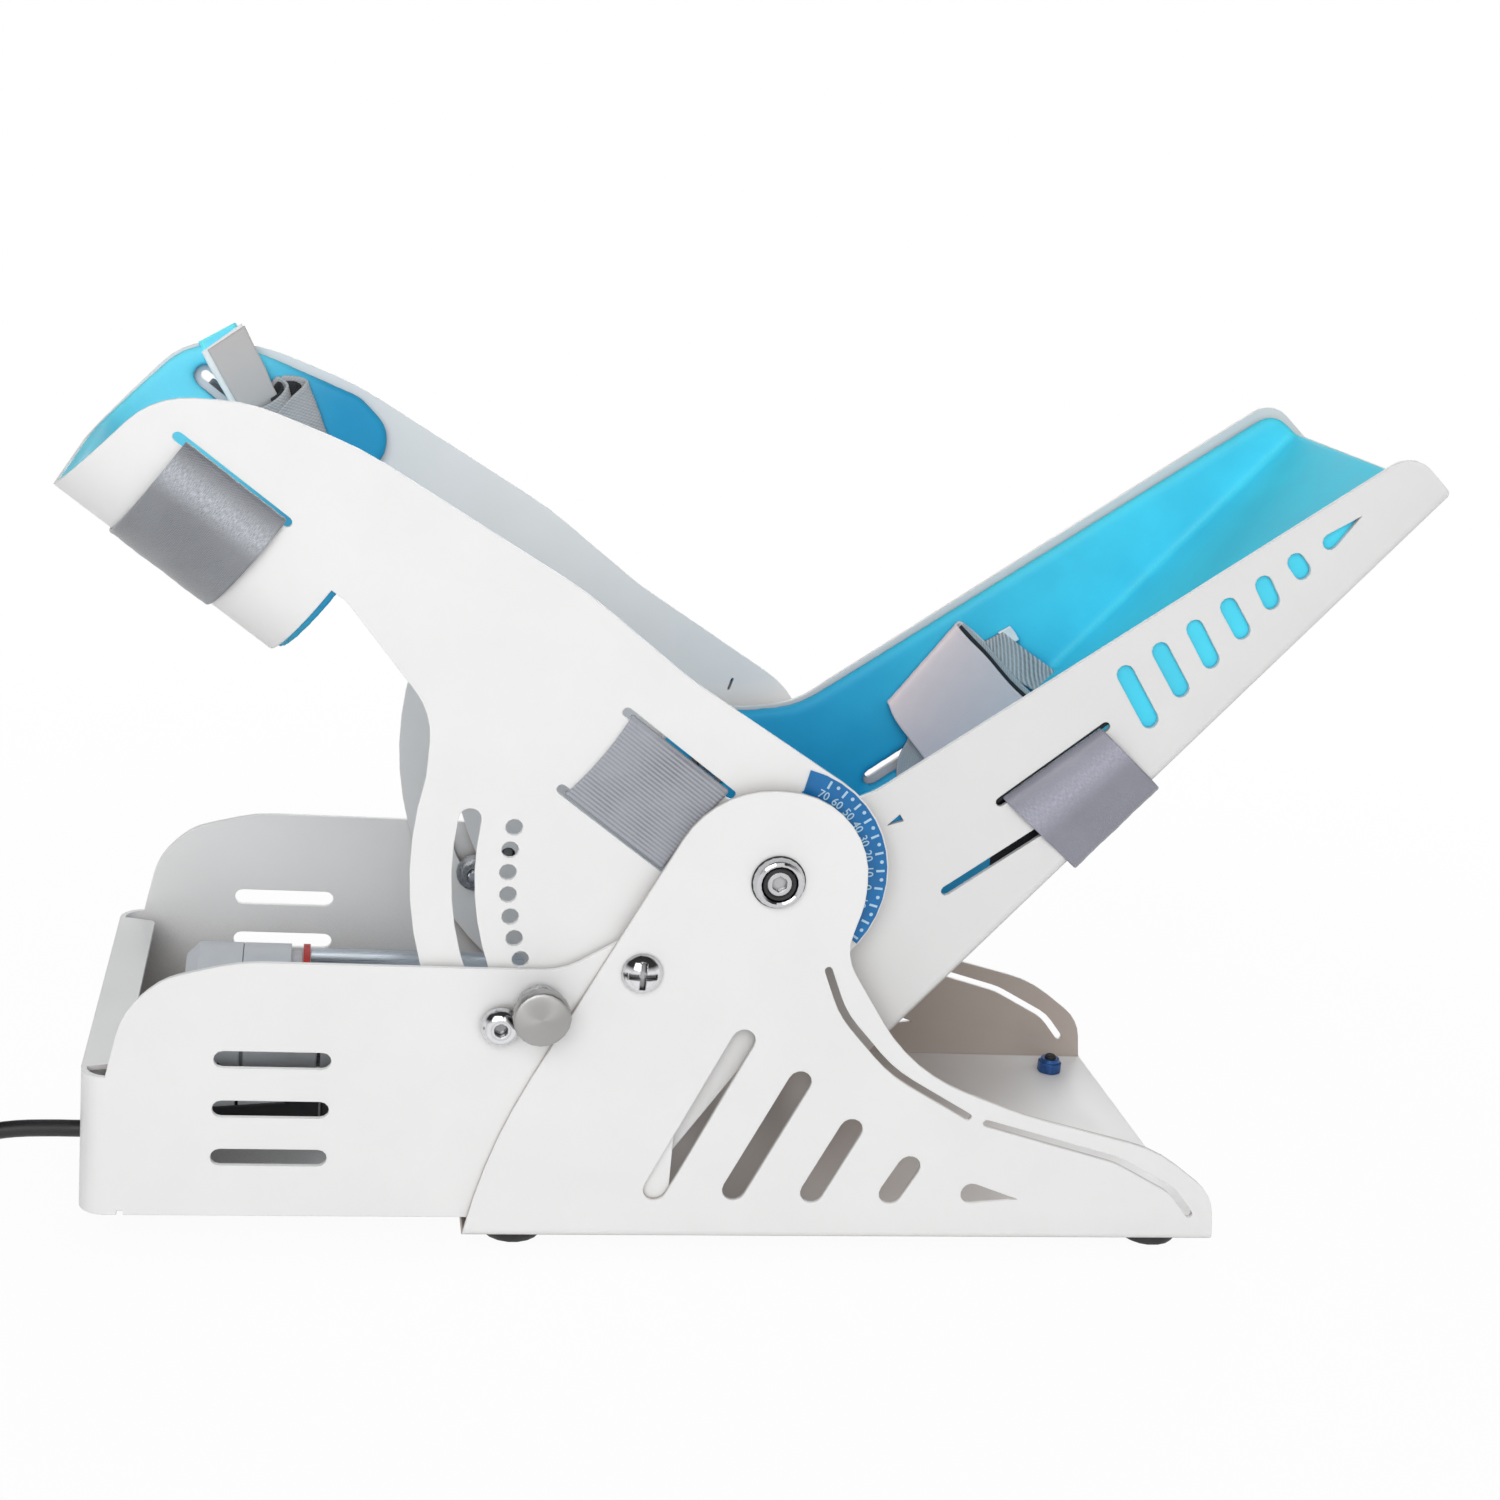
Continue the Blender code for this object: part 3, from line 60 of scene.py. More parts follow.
# Measures shared with the solids
PIVOT = (107.94, 146.67)
CALF_HALF = 83.5
FOOT_HALF = 71.4
HEAD_FACE = 90.2
GAP = 0.3
TROUGH_TILT = -35.8
TROUGH_BOTTOM = 128.6
TROUGH_CORNER = 34.0
CALF_SLOT_W = 173.8
LEG_SLOT_W = (195.6, 158.6)
LEG_SLOT_U = (-82.5, -32.0)
SOLE_TILT = 49.2
AXLE_OVER_SOLE = 86.1
SOLE_BEND = 4.0
FOOT_STRAP_SLOT = ((195.1, 175.4), (232.7, 207.0))
FOOT_STRAP_S = (81.0, 126.0)
STRAP_UNDER_SOLE = 3.4
CALF_STRAP_U = (-261.4, -219.0)
SCALE_FACE = 84.0
SCALE_OUTER = 42.7
HOUSING_REAR = -141.3
CORD_Y = -45.0
CORD_Z = 21.4
CORD_RADIUS = 3.25
COIL_X = -242.3
COIL_ENTRY = 6.5
COIL_OUTER = 48.6
COIL_PITCH = 7.4
COIL_TURNS = 3
COIL_POINTS = 48
COIL_FLARE = 14.0
COIL_LIFT = 1.5
FLOOR_Z = -8.0
CONTROLLER_REAR = -54.3
DRIVE_AXIS = (20.0, 46.4)

# Measures of the scene's own pieces
TUCK = 1.2
SLOT_MARGIN = 1.8
FOOT_SLOT_MARGIN = 1.6
SLOT_BEND = 0.9
BOW = 2.2
BOW_LENGTH = 46.0
WAIST = 1.5
RIB_RISE = 0.10
COVER_RADIUS = 26.9
COVER_ARC = (162, 84)
COVERS = ((-104.0, -87.2), (-85.8, -56.4), (-55.0, -44.0))
# Black rings that stand for the shade in the gaps round the axle caps: painted shade
# Name, radius, half thickness, and distance out from the face that the heads lie on
AXLE_RINGS = (("axle_seal", 5.5, 0.8, 3.1), ("axle_rim", 9.75, 0.5, 0.55))
FIGURE_RADIUS = 35.6
FIGURE_SIZE = 4.5
DASH_WIDTH = 0.9
DOT_RADIUS = 0.72
INK_LIFT = 0.06

# Studio, in metres and degrees
CAMERA_PLACE = (-0.213617, -0.876794, 0.421546)
CAMERA_TURN = (74.27418763, -5.42753696, -9.65676015)
LAMPS = {"key": (-0.75, -2.0, 1.25), "fill": (-0.1, -2.3, 1.0), "rear": (0.4, 2.0, 0.9)}
LAMP_SIZE = 1.5
FLOOR_REACH = 9.0
WHITE = (1.0, 1.0, 1.0, 1.0)
SAME_PLACE = 0.000004


# Settings a user may change

def shade(name, text, value):
    return FloatVectorProperty(name=name, description=text, subtype="COLOR", size=3, min=0.0, max=1.0, default=value)


def length(name, text, value):
    return FloatProperty(name=name, description=text, subtype="DISTANCE", unit="LENGTH", min=0.0, default=value)


def power(name, text, value):
    return FloatProperty(name=name, description=text, subtype="POWER", unit="POWER", min=0.0, default=value)


class TrainerColours(bpy.types.PropertyGroup):
    coat: shade("Coat", "Powder coat on the folded plates", (0.865, 0.865, 0.862))
    foam: shade("Foam", "Closed-cell foam of the calf and foot linings", (0.075, 0.74, 0.97))
    webbing: shade("Webbing", "Satin webbing of the calf strap", (0.185, 0.195, 0.215))
    lilac: shade("Foot webbing", "Satin webbing of the foot strap", (0.225, 0.225, 0.275))
    elastic: shade("Elastic", "Ribbed elastic on the calf plates", (0.29, 0.30, 0.335))
    dial: shade("Dial", "Printed film of the angle scale", (0.002, 0.15, 0.41))
    marks: shade("Marks", "Printed marks and numbers on the dial", (0.46, 0.66, 0.80))
    drive: shade("Drive", "Moulded cases of the linear drive", (0.60, 0.63, 0.67))
    cord: shade("Cord", "Sheath of the mains lead", (0.018, 0.018, 0.020))


class TrainerSizes(bpy.types.PropertyGroup):
    web: length("Web thickness", "Thickness of the satin webbing", 0.0011)
    elastic: length("Elastic thickness", "Thickness of the ribbed elastic", 0.0013)
    rib: length("Rib pitch", "Distance between the ribs of the elastic", 0.00145)
    cord: length("Cord diameter", "Diameter of the mains lead", 0.0065)
    foam_step: length("Foam step", "Size of the cells that round the foam off", 0.0014)
    dash: length("Dash length", "Length of the ten-degree marks", 0.0032)


class TrainerStudio(bpy.types.PropertyGroup):
    lens: FloatProperty(name="Lens", description="Focal length on a 36 mm wide sensor", min=1.0, default=55.045)
    key: power("Key", "Power of the main lamp in front, on the left", 22.0)
    fill: power("Fill", "Power of the weaker lamp straight in front", 7.0)
    rear: power("Rear", "Power of the lamp behind", 17.0)
    sky: FloatProperty(name="Sky", description="Strength of the even light from all round", min=0.0, default=0.42)
    steps: IntProperty(name="Smoothing", description="Times that the foam is smoothed", min=0, default=12)


def colours():
    return bpy.context.scene.trainer_colours


def sizes():
    return bpy.context.scene.trainer_sizes


def studio():
    return bpy.context.scene.trainer_studio


# Places

def at(x, y, z):
    """A point in base coordinates as metres in the frame."""
    return Vector((MM * (x - MID_X), MM * y, MM * z))


def around(centre, radius, turn):
    """A point of a circle, at a turn in radians."""
    return (centre[0] + radius * math.cos(turn), centre[1] + radius * math.sin(turn))


def polar(radius, angle):
    """A point about the axle, as (x, z), at an angle in degrees."""
    return around(PIVOT, radius, math.radians(angle))


def tilted(origin, angle):
    """Places points that are given across, above and along a plane through origin, tilted by an angle."""
    cos = math.cos(math.radians(angle))
    sin = math.sin(math.radians(angle))

    def point(across, lift, along):
        return (origin[0] + along * cos - lift * sin, across, origin[1] + along * sin + lift * cos)

    return point


trough = tilted((0.0, 0.0), TROUGH_TILT)
sole = tilted(polar(AXLE_OVER_SOLE, SOLE_TILT - 90.0), SOLE_TILT)


def blended(a, b, share):
    return tuple(p + (q - p) * share for p, q in zip(a, b))


def bent_path(corners, step=3.0):
    """An open path through corners (a, b, radius), its straights cut to step and its bends rounded."""
    path = [corners[0][:2]]
    for before, corner, after in zip(corners, corners[1:], corners[2:]):
        radius = corner[2]
        before, corner, after = (Vector(c[:2]) for c in (before, corner, after))
        inward = (before - corner).normalized()
        onward = (after - corner).normalized()
        angle = inward.angle(onward)
        cut = radius / math.tan(angle / 2)
        centre = corner + (inward + onward).normalized() * (radius / math.sin(angle / 2))
        add_straight(path, corner + inward * cut, step)
        count = max(3, math.ceil(radius * (math.pi - angle) / 1.6))
        first = corner + inward * cut - centre
        turn = first.angle_signed(corner + onward * cut - centre)
        for j in range(1, count + 1):
            cos = math.cos(-turn * j / count)
            sin = math.sin(-turn * j / count)
            path.append((centre.x + first.x * cos - first.y * sin, centre.y + first.x * sin + first.y * cos))
    add_straight(path, Vector(corners[-1][:2]), step)
    return path


def add_straight(path, end, step):
    start = Vector(path[-1])
    count = max(1, math.ceil((end - start).length / step))
    path += [tuple(start.lerp(end, i / count)) for i in range(1, count + 1)]


def eased(points, parts):
    """A smooth line through points, with parts steps from each to the next."""
    line = []
    count = len(points)
    for i in range(count - 1):
        before, a, b, after = [points[min(max(k, 0), count - 1)] for k in (i - 1, i, i + 1, i + 2)]
        for j in range(parts):
            t = j / parts
            line.append(tuple(
                0.5 * (2 * q + (r - p) * t + (2 * p - 5 * q + 4 * r - s) * t * t + (3 * q - p - 3 * r + s) * t ** 3)
                for p, q, r, s in zip(before, a, b, after)
            ))
    return line + [tuple(points[-1])]


# Mesh makers

def placed(name, data):
    obj = bpy.data.objects.new(name, data)
    bpy.context.scene.collection.objects.link(obj)
    return obj


def mesh_of(obj):
    """A mesh of the object as it stands, with its modifiers."""
    bpy.context.view_layer.update()
    return bpy.data.meshes.new_from_object(obj.evaluated_get(bpy.context.evaluated_depsgraph_get()))


def piece_from(name, verts, faces, material, smooth=True):
    mesh = bpy.data.meshes.new(name)
    mesh.from_pydata([tuple(v) for v in verts], [], faces)
    edit = bmesh.new()
    edit.from_mesh(mesh)
    bmesh.ops.recalc_face_normals(edit, faces=edit.faces)
    edit.to_mesh(mesh)
    edit.free()
    mesh.polygons.foreach_set("use_smooth", [smooth] * len(mesh.polygons))
    mesh.materials.append(material)
    return placed(name, mesh)


def skin(rings, count):
    """Quads between rings of count points each."""
    return [(i * count + j, i * count + (j + 1) % count, (i + 1) * count + (j + 1) % count, (i + 1) * count + j)
            for i in range(rings - 1) for j in range(count)]


def closed_skin(verts, count):
    """The faces of a solid through rings of count points each, with its two ends."""
    return [tuple(range(count)), tuple(range(len(verts) - count, len(verts))), *skin(len(verts) // count, count)]


def lofted(name, sections, material):
    """A flat-faced solid through like sections, given point by point in base millimetres."""
    verts = [at(*point) for section in sections for point in section]
    return piece_from(name, verts, closed_skin(verts, len(sections[0])), material, smooth=False)


def web_section(width, half, step):
    """Across a band: (distance from its left edge, half thickness), with a rounded, slightly fuller selvedge."""
    selvedge = [(0.0, 0.0), (0.10, 0.50 * half), (0.35, 0.92 * half), (0.8, 1.16 * half), (1.5, 1.16 * half),
                (2.0, half)]
    middle = width - 2 * selvedge[-1][0]
    count = max(1, math.ceil(middle / step))
    inner = [(selvedge[-1][0] + middle * i / count, half) for i in range(1, count)]
    return selvedge + inner + [(width - d, h) for d, h in reversed(selvedge)]


def band(name, left, right, thick, material, step=2.0, ripple=None):
    """A strip of webbing between two edge lines, given point by point in base millimetres.

    The map "weave" runs across and along it in metres. ripple(across, along) lifts its middle, both in millimetres.
    """
    left = [Vector(p) for p in left]
    right = [Vector(p) for p in right]
    middle = [(a + b) / 2 for a, b in zip(left, right)]
    run = [0.0]
    for a, b in zip(middle, middle[1:]):
        run.append(run[-1] + (b - a).length)
    widest = max((b - a).length for a, b in zip(left, right))
    section = web_section(widest, thick / 2, step)
    count = len(left)
    ring = len(section) * 2 - 2
    verts = []
    marks = []
    for i in range(count):
        across = right[i] - left[i]
        along = middle[min(i + 1, count - 1)] - middle[max(i - 1, 0)]
        normal = across.cross(along).normalized()
        scale = across.length / widest
        across.normalize()
        lifted = []
        for d, h in section:
            lift = ripple(d, run[i]) if ripple and h > 0 else 0.0
            foot = left[i] + across * (d * scale)
            lifted.append((foot + normal * (lift + h), foot + normal * (lift - h), d))
        row = [(top, d) for top, _, d in lifted] + [(low, d) for _, low, d in reversed(lifted[1:-1])]
        verts += [at(*point) for point, _ in row]
        marks += [(MM * d, MM * run[i]) for _, d in row]
    faces = skin(count, ring)
    for base in (0, (count - 1) * ring):
        for j in range(len(section) - 1):
            quad = (base + j, base + j + 1, base + (ring - j - 1) % ring, base + (ring - j) % ring)
            face = tuple(dict.fromkeys(quad))
            if len(face) > 2:
                faces.append(face)
    obj = piece_from(name, verts, faces, material)
    weave = obj.data.uv_layers.new(name="weave")
    for loop in obj.data.loops:
        weave.data[loop.index].uv = marks[loop.vertex_index]
    return obj, MM * widest, MM * run[-1]


def tube_curve(name, points, diameter, material):
    data = bpy.data.curves.new(name, "CURVE")
    data.dimensions = "3D"
    data.bevel_depth = diameter / 2
    data.bevel_resolution = 4
    data.use_fill_caps = True
    spline = data.splines.new("POLY")
    spline.points.add(len(points) - 1)
    for place, point in zip(spline.points, points):
        place.co = (*at(*point), 1.0)
    spline.use_smooth = True
    data.materials.append(material)
    return placed(name, data)


def rounded_point(angle, wide, tall, square):
    """A point of a rounded rectangle: square 1 is an ellipse, and smaller values fill the corners."""
    cos = math.cos(angle)
    sin = math.sin(angle)
    return (math.copysign(abs(cos) ** square, cos) * wide, math.copysign(abs(sin) ** square, sin) * tall)


# Shader groups

def add_node(tree, kind, inputs=None, **settings):
    made = tree.nodes.new(kind)
    made.location = (220 * (len(tree.nodes) % 9), -260 * (len(tree.nodes) // 9))
    for key, value in settings.items():
        setattr(made, key, value)
    for key, value in (inputs or {}).items():
        if isinstance(value, bpy.types.NodeSocket):
            tree.links.new(value, made.inputs[key])
        else:
            made.inputs[key].default_value = value
    return made


def sum_of(tree, operation, *values):
    """The result of one step of reckoning."""
    return add_node(tree, "ShaderNodeMath", dict(enumerate(values)), operation=operation).outputs[0]


def vector_of(tree, operation, *values):
    return add_node(tree, "ShaderNodeVectorMath", dict(enumerate(values)), operation=operation).outputs


def object_place(tree):
    return add_node(tree, "ShaderNodeTexCoord").outputs["Object"]


def parts_of(tree, place):
    return add_node(tree, "ShaderNodeSeparateXYZ", {0: place}).outputs


def noise(tree, place, scale, detail):
    return add_node(tree, "ShaderNodeTexNoise", {"Vector": place, "Scale": scale, "Detail": detail}).outputs[0]


def ranged(tree, value, low, high, start=0.0, end=1.0, ease="LINEAR"):
    """low to high while the value runs from start to end."""
    given = {"Value": value, "From Min": start, "From Max": end, "To Min": low, "To Max": high}
    return add_node(tree, "ShaderNodeMapRange", given, interpolation_type=ease).outputs[0]


def mixed(tree, factor, a, b, blend="MIX"):
    return add_node(tree, "ShaderNodeMix", {0: factor, 6: a, 7: b}, data_type="RGBA", blend_type=blend).outputs[2]


def between(tree, factor, a, b):
    return add_node(tree, "ShaderNodeMix", {0: factor, 2: a, 3: b}, data_type="FLOAT").outputs[0]


def grain_group(tree, given):
    """Fine cloudy relief with a slower mottling under it, set in metres on the piece."""
    place = object_place(tree)
    slow = noise(tree, place, given["Mottle"], 4.0)
    return {"Height": noise(tree, place, given["Scale"], 3.0), "Mask": ranged(tree, slow, 0.0, 1.0, 0.35, 0.65)}


def brushed_group(tree, given):
    """Long fine scratches: Stretch gives the lines per metre along each axis."""
    fine = noise(tree, vector_of(tree, "MULTIPLY", object_place(tree), given["Stretch"])[0], 1.0, 5.0)
    return {"Height": fine, "Mask": ranged(tree, fine, 0.0, 1.0, 0.3, 0.7)}


def wear_group(tree, given):
    """Painted highlights on edges and painted shade in corners and recesses, masked by the bevel and by ambient
    occlusion, and the normal that rounds the edges off.
    """
    soft = add_node(tree, "ShaderNodeBevel", {"Radius": given["Radius"]}, samples=4).outputs[0]
    flat = add_node(tree, "ShaderNodeNewGeometry").outputs["True Normal"]
    same = vector_of(tree, "DOT_PRODUCT", soft, flat)["Value"]
    open_air = add_node(tree, "ShaderNodeAmbientOcclusion", {"Distance": given["Reach"]}, samples=8).outputs["AO"]
    # Edge masks the edges for a painted highlight; Corner masks enclosed places for painted shade
    return {"Edge": ranged(tree, same, 0.0, 1.0, 0.995, 0.85), "Normal": soft,
            "Corner": ranged(tree, open_air, 0.0, 1.0, given["Onset"], 0.15)}


def weave_group(tree, given):
    """Yarns of a woven band: Warp yarns run along it and Weft yarns or ribs across it, in metres apart."""
    place = add_node(tree, "ShaderNodeUVMap", uv_map="weave").outputs[0]
    parts = parts_of(tree, place)
    across = sum_of(tree, "DIVIDE", parts[0], given["Warp"])
    along = sum_of(tree, "DIVIDE", parts[1], given["Weft"])
    warp = sum_of(tree, "ABSOLUTE", sum_of(tree, "SINE", sum_of(tree, "MULTIPLY", across, math.pi)))
    turn = sum_of(tree, "MULTIPLY", sum_of(tree, "MULTIPLY_ADD", across, given["Slant"], along), 2 * math.pi)
    weft = sum_of(tree, "MULTIPLY_ADD", sum_of(tree, "SINE", turn), 0.5, 0.5)
    fuzz = noise(tree, vector_of(tree, "MULTIPLY", place, (2600.0, 620.0, 1.0))[0], 1.0, 3.0)
    yarn = sum_of(tree, "MULTIPLY", warp, sum_of(tree, "MULTIPLY_ADD", weft, 0.5, 0.5))
    height = sum_of(tree, "MULTIPLY_ADD", fuzz, 0.6, between(tree, given["Rib"], yarn, weft))
    return {"Height": height, "Mask": ranged(tree, height, 0.0, 1.0, 0.25, 1.15),
            "Streak": ranged(tree, fuzz, 0.0, 1.0, 0.35, 0.68)}


# Each shared group: what fills it, its inputs' default values and its outputs
GROUPS = {
    "fine_grain": (grain_group, {"Scale": 900.0, "Mottle": 60.0}, ("Height", "Mask")),
    "brushed_lines": (brushed_group, {"Stretch": (300.0, 300.0, 300.0)}, ("Height", "Mask")),
    "edges_and_corners": (wear_group, {"Radius": 0.0006, "Reach": 0.02, "Onset": 0.75}, ("Edge", "Corner", "Normal")),
    "woven_band": (weave_group, {"Warp": 0.0007, "Weft": 0.0009, "Slant": 0.25, "Rib": 0.3},
                   ("Height", "Mask", "Streak")),
}


def shared_group(name):
    """One of the shared groups, made on its first use."""
    tree = bpy.data.node_groups.get(name)
    if tree:
        return tree
    tree = bpy.data.node_groups.new(name, "ShaderNodeTree")
    fill, inputs, outputs = GROUPS[name]
    for label, value in inputs.items():
        kind = "NodeSocketVector" if isinstance(value, tuple) else "NodeSocketFloat"
        tree.interface.new_socket(name=label, in_out="INPUT", socket_type=kind).default_value = value
    for label in outputs:
        kind = "NodeSocketVector" if label == "Normal" else "NodeSocketFloat"
        tree.interface.new_socket(name=label, in_out="OUTPUT", socket_type=kind)
    end = tree.nodes.new("NodeGroupOutput")
    for label, socket in fill(tree, tree.nodes.new("NodeGroupInput").outputs).items():
        tree.links.new(socket, end.inputs[label])
    return tree


def placed_group(tree, name, **values):
    """One of the shared groups in a material, with that material's own values."""
    return add_node(tree, "ShaderNodeGroup", values, node_tree=shared_group(name)).outputs


# Materials

def tinted(color, share):
    """A color made lighter by a share above 1 or darker by one below, given for all of it or by channel."""
    by_channel = share if isinstance(share, tuple) else (share, share, share)
    return (*[min(1.0, c * part) for c, part in zip(color, by_channel)], 1.0)


def new_material(name, color=(0.9, 0.9, 0.9)):
    """A material with its node tree and its shader's inputs."""
    made = bpy.data.materials.new(name)
    made.use_nodes = True
    made.diffuse_color = (*color, 1.0)
    return made, made.node_tree, made.node_tree.nodes["Principled BSDF"].inputs


def set_shader(tree, shader, body, rough, height, relief, normal=None):
    bump = {"Height": height, "Distance": relief, "Strength": 1.0}
    if normal is not None:
        bump["Normal"] = normal
    for socket, key in ((body, "Base Color"), (rough, "Roughness"),
                        (add_node(tree, "ShaderNodeBump", bump).outputs[0], "Normal")):
        tree.links.new(socket, shader[key])


def faded(tree, body, direction, low, high, deep, pale=(1.0, 1.0, 1.0)):
    """Painted shade and light: the colour multiplied by deep below low metres along a direction, and by pale beyond
    high.
    """
    reach = vector_of(tree, "DOT_PRODUCT", object_place(tree), direction)["Value"]
    depth = ranged(tree, reach, 1.0, 0.0, low, high, "SMOOTHSTEP")
    return mixed(tree, 1.0, body, mixed(tree, depth, (*pale, 1.0), (*deep, 1.0)), "MULTIPLY")


def solid_of(name, color, rough, relief, metal=0.0, tone=0.06, grain=(900.0, 60.0), brushed=None, edge=1.08,
             corner=0.8, radius=0.0004, reach=0.02, onset=0.75, fade=None):
    """A coat, metal, rubber or plastic: grain or brushing over one colour, with painted highlights on its edges,
    painted shade in its corners and, when given, a painted gradient of shade and light.
    """
    made, tree, shader = new_material(name, color)
    painted_light = placed_group(tree, "edges_and_corners", Radius=radius, Reach=reach, Onset=onset)
    if brushed:
        texture = placed_group(tree, "brushed_lines", Stretch=brushed)
    else:
        texture = placed_group(tree, "fine_grain", Scale=grain[0], Mottle=grain[1])
    body = mixed(tree, texture["Mask"], tinted(color, 1 - tone), tinted(color, 1 + tone))
    # Painted shade in corners and recesses, then edges painted lighter for a highlight, and on chrome darker for a
    # reflection: both painted
    body = mixed(tree, painted_light["Corner"], body, tinted(color, corner))
    body = mixed(tree, painted_light["Edge"], body, tinted(color, edge))
    if fade:
        body = faded(tree, body, *fade)
    set_shader(tree, shader, body, ranged(tree, texture["Mask"], *rough), texture["Height"], relief, painted_light["Normal"])
    shader["Metallic"].default_value = metal
    return made


def polished_ends(tree, streak, half_run, distance, width):
    """A mask for bands of painted highlight, a satin sheen painted into the colour, a little way from each end of the
    webbing, broken up by its yarns.
    """
    along = parts_of(tree, add_node(tree, "ShaderNodeUVMap", uv_map="weave").outputs[0])[1]
    from_end = sum_of(tree, "PINGPONG", along, half_run)
    off = sum_of(tree, "ABSOLUTE", sum_of(tree, "SUBTRACT", from_end, distance))
    near = ranged(tree, off, 1.0, 0.0, 0.0, width, "SMOOTHSTEP")
    return sum_of(tree, "MULTIPLY", near, ranged(tree, streak, 0.25, 1.0))


def cloth_of(name, color, yarns, relief, rough, tone=0.30, gloss=0.5, polish=None):
    """A woven band. yarns are its warp, weft, slant and rib.

    The last argument is half its length, and the distance from its ends, width and lightness of the painted highlight
    bands: satin sheen painted into the colour.
    """
    made, tree, shader = new_material(name, color)
    warp, weft, slant, rib = yarns
    weave = placed_group(tree, "woven_band", Warp=warp, Weft=weft, Slant=slant, Rib=rib)
    grain = placed_group(tree, "fine_grain", Scale=950.0, Mottle=45.0)
    body = mixed(tree, weave["Mask"], tinted(color, 1 - tone), tinted(color, 1 + tone))
    body = mixed(tree, ranged(tree, grain["Mask"], 0.0, 0.6), body, tinted(color, 1 + tone))
    # Painted highlight: bands of satin sheen painted lighter near the ends of the webbing
    if polish:
        body = mixed(tree, polished_ends(tree, weave["Streak"], *polish[:3]), body, tinted(color, polish[3]))
    set_shader(tree, shader, body, ranged(tree, weave["Mask"], rough[1], rough[0]), weave["Height"], relief)
    for key, value in (("Sheen Weight", 0.1), ("Sheen Roughness", 0.4), ("Specular IOR Level", gloss)):
        shader[key].default_value = value
    return made


def elastic_of(name, color, **values):
    return cloth_of(name, color, (0.0007, sizes().rib, 0.0, 0.6), **values)


# The coat made darker all over: painted shade
def dull_coat(name, color, **values):
    return solid_of(name, tinted(color, 0.91)[:3], **values)


def channel_coat(name, color, **values):
    """The coat with painted shade: warmer and darker inside the channel, on its walls and on the rear of its floor."""
    made = solid_of(name, color, **values)
    tree = made.node_tree
    coat = tree.nodes["Principled BSDF"].inputs["Base Color"]
    place = parts_of(tree, object_place(tree))
    off = sum_of(tree, "ABSOLUTE", place[1])
    wall = ranged(tree, off, 0.0, 1.0, 0.0865, 0.0875)
    rear = ranged(tree, place[0], 1.0, 0.0, 0.03, 0.12)
    depth = sum_of(tree, "MULTIPLY", ranged(tree, off, 1.0, 0.0, 0.0883, 0.0893), sum_of(tree, "MAXIMUM", wall, rear))
    # Painted shade: a warm dark taupe multiplied into the coat there
    share = mixed(tree, depth, WHITE, (0.56, 0.48, 0.435, 1.0))
    tree.links.new(mixed(tree, 1.0, coat.links[0].from_socket, share, "MULTIPLY"), coat)
    return made


def turned_of(name, color, **values):
    """Faced on a lathe: its gloss runs round the middle."""
    made = solid_of(name, color, **values)
    shader = made.node_tree.nodes["Principled BSDF"].inputs
    shader["Anisotropic"].default_value = 0.75
    round_about = add_node(made.node_tree, "ShaderNodeTangent", direction_type="RADIAL", axis="Y")
    made.node_tree.links.new(round_about.outputs[0], shader["Tangent"])
    return made


# Edge values above 1 paint a highlight on the edges and values below 1 a dark reflection; corner values paint shade
# into corners and recesses
COAT = dict(rough=(0.34, 0.44), relief=1.2e-5, tone=0.012, grain=(1300.0, 26.0), edge=1.12, corner=0.90, radius=0.0006)
# Closed cells: fine pores over a soft mottle, with painted shade, deeper blue, where the lining is enclosed, and a
# painted highlight on its cut edges
FOAM = dict(rough=(0.52, 0.68), relief=5e-5, tone=0.05, grain=(1500.0, 34.0), edge=1.3, corner=(0.20, 0.55, 0.75),
            radius=0.0016, reach=0.11, onset=0.5)
POLISH = dict(relief=2e-6, metal=1.0, tone=0.04, grain=(2500.0, 240.0), reach=0.004)
BLACK = dict(relief=2e-5, tone=0.15, grain=(2600.0, 130.0), edge=1.7, corner=0.7, radius=0.0005)
PALE = dict(rough=(0.36, 0.50), relief=2e-5, tone=0.03, grain=(1800.0, 90.0), edge=1.15)
FINE = (0.00055, 0.00075, 0.33, 0.15)
FUZZY = dict(relief=0.0002, rough=(0.6, 0.8))

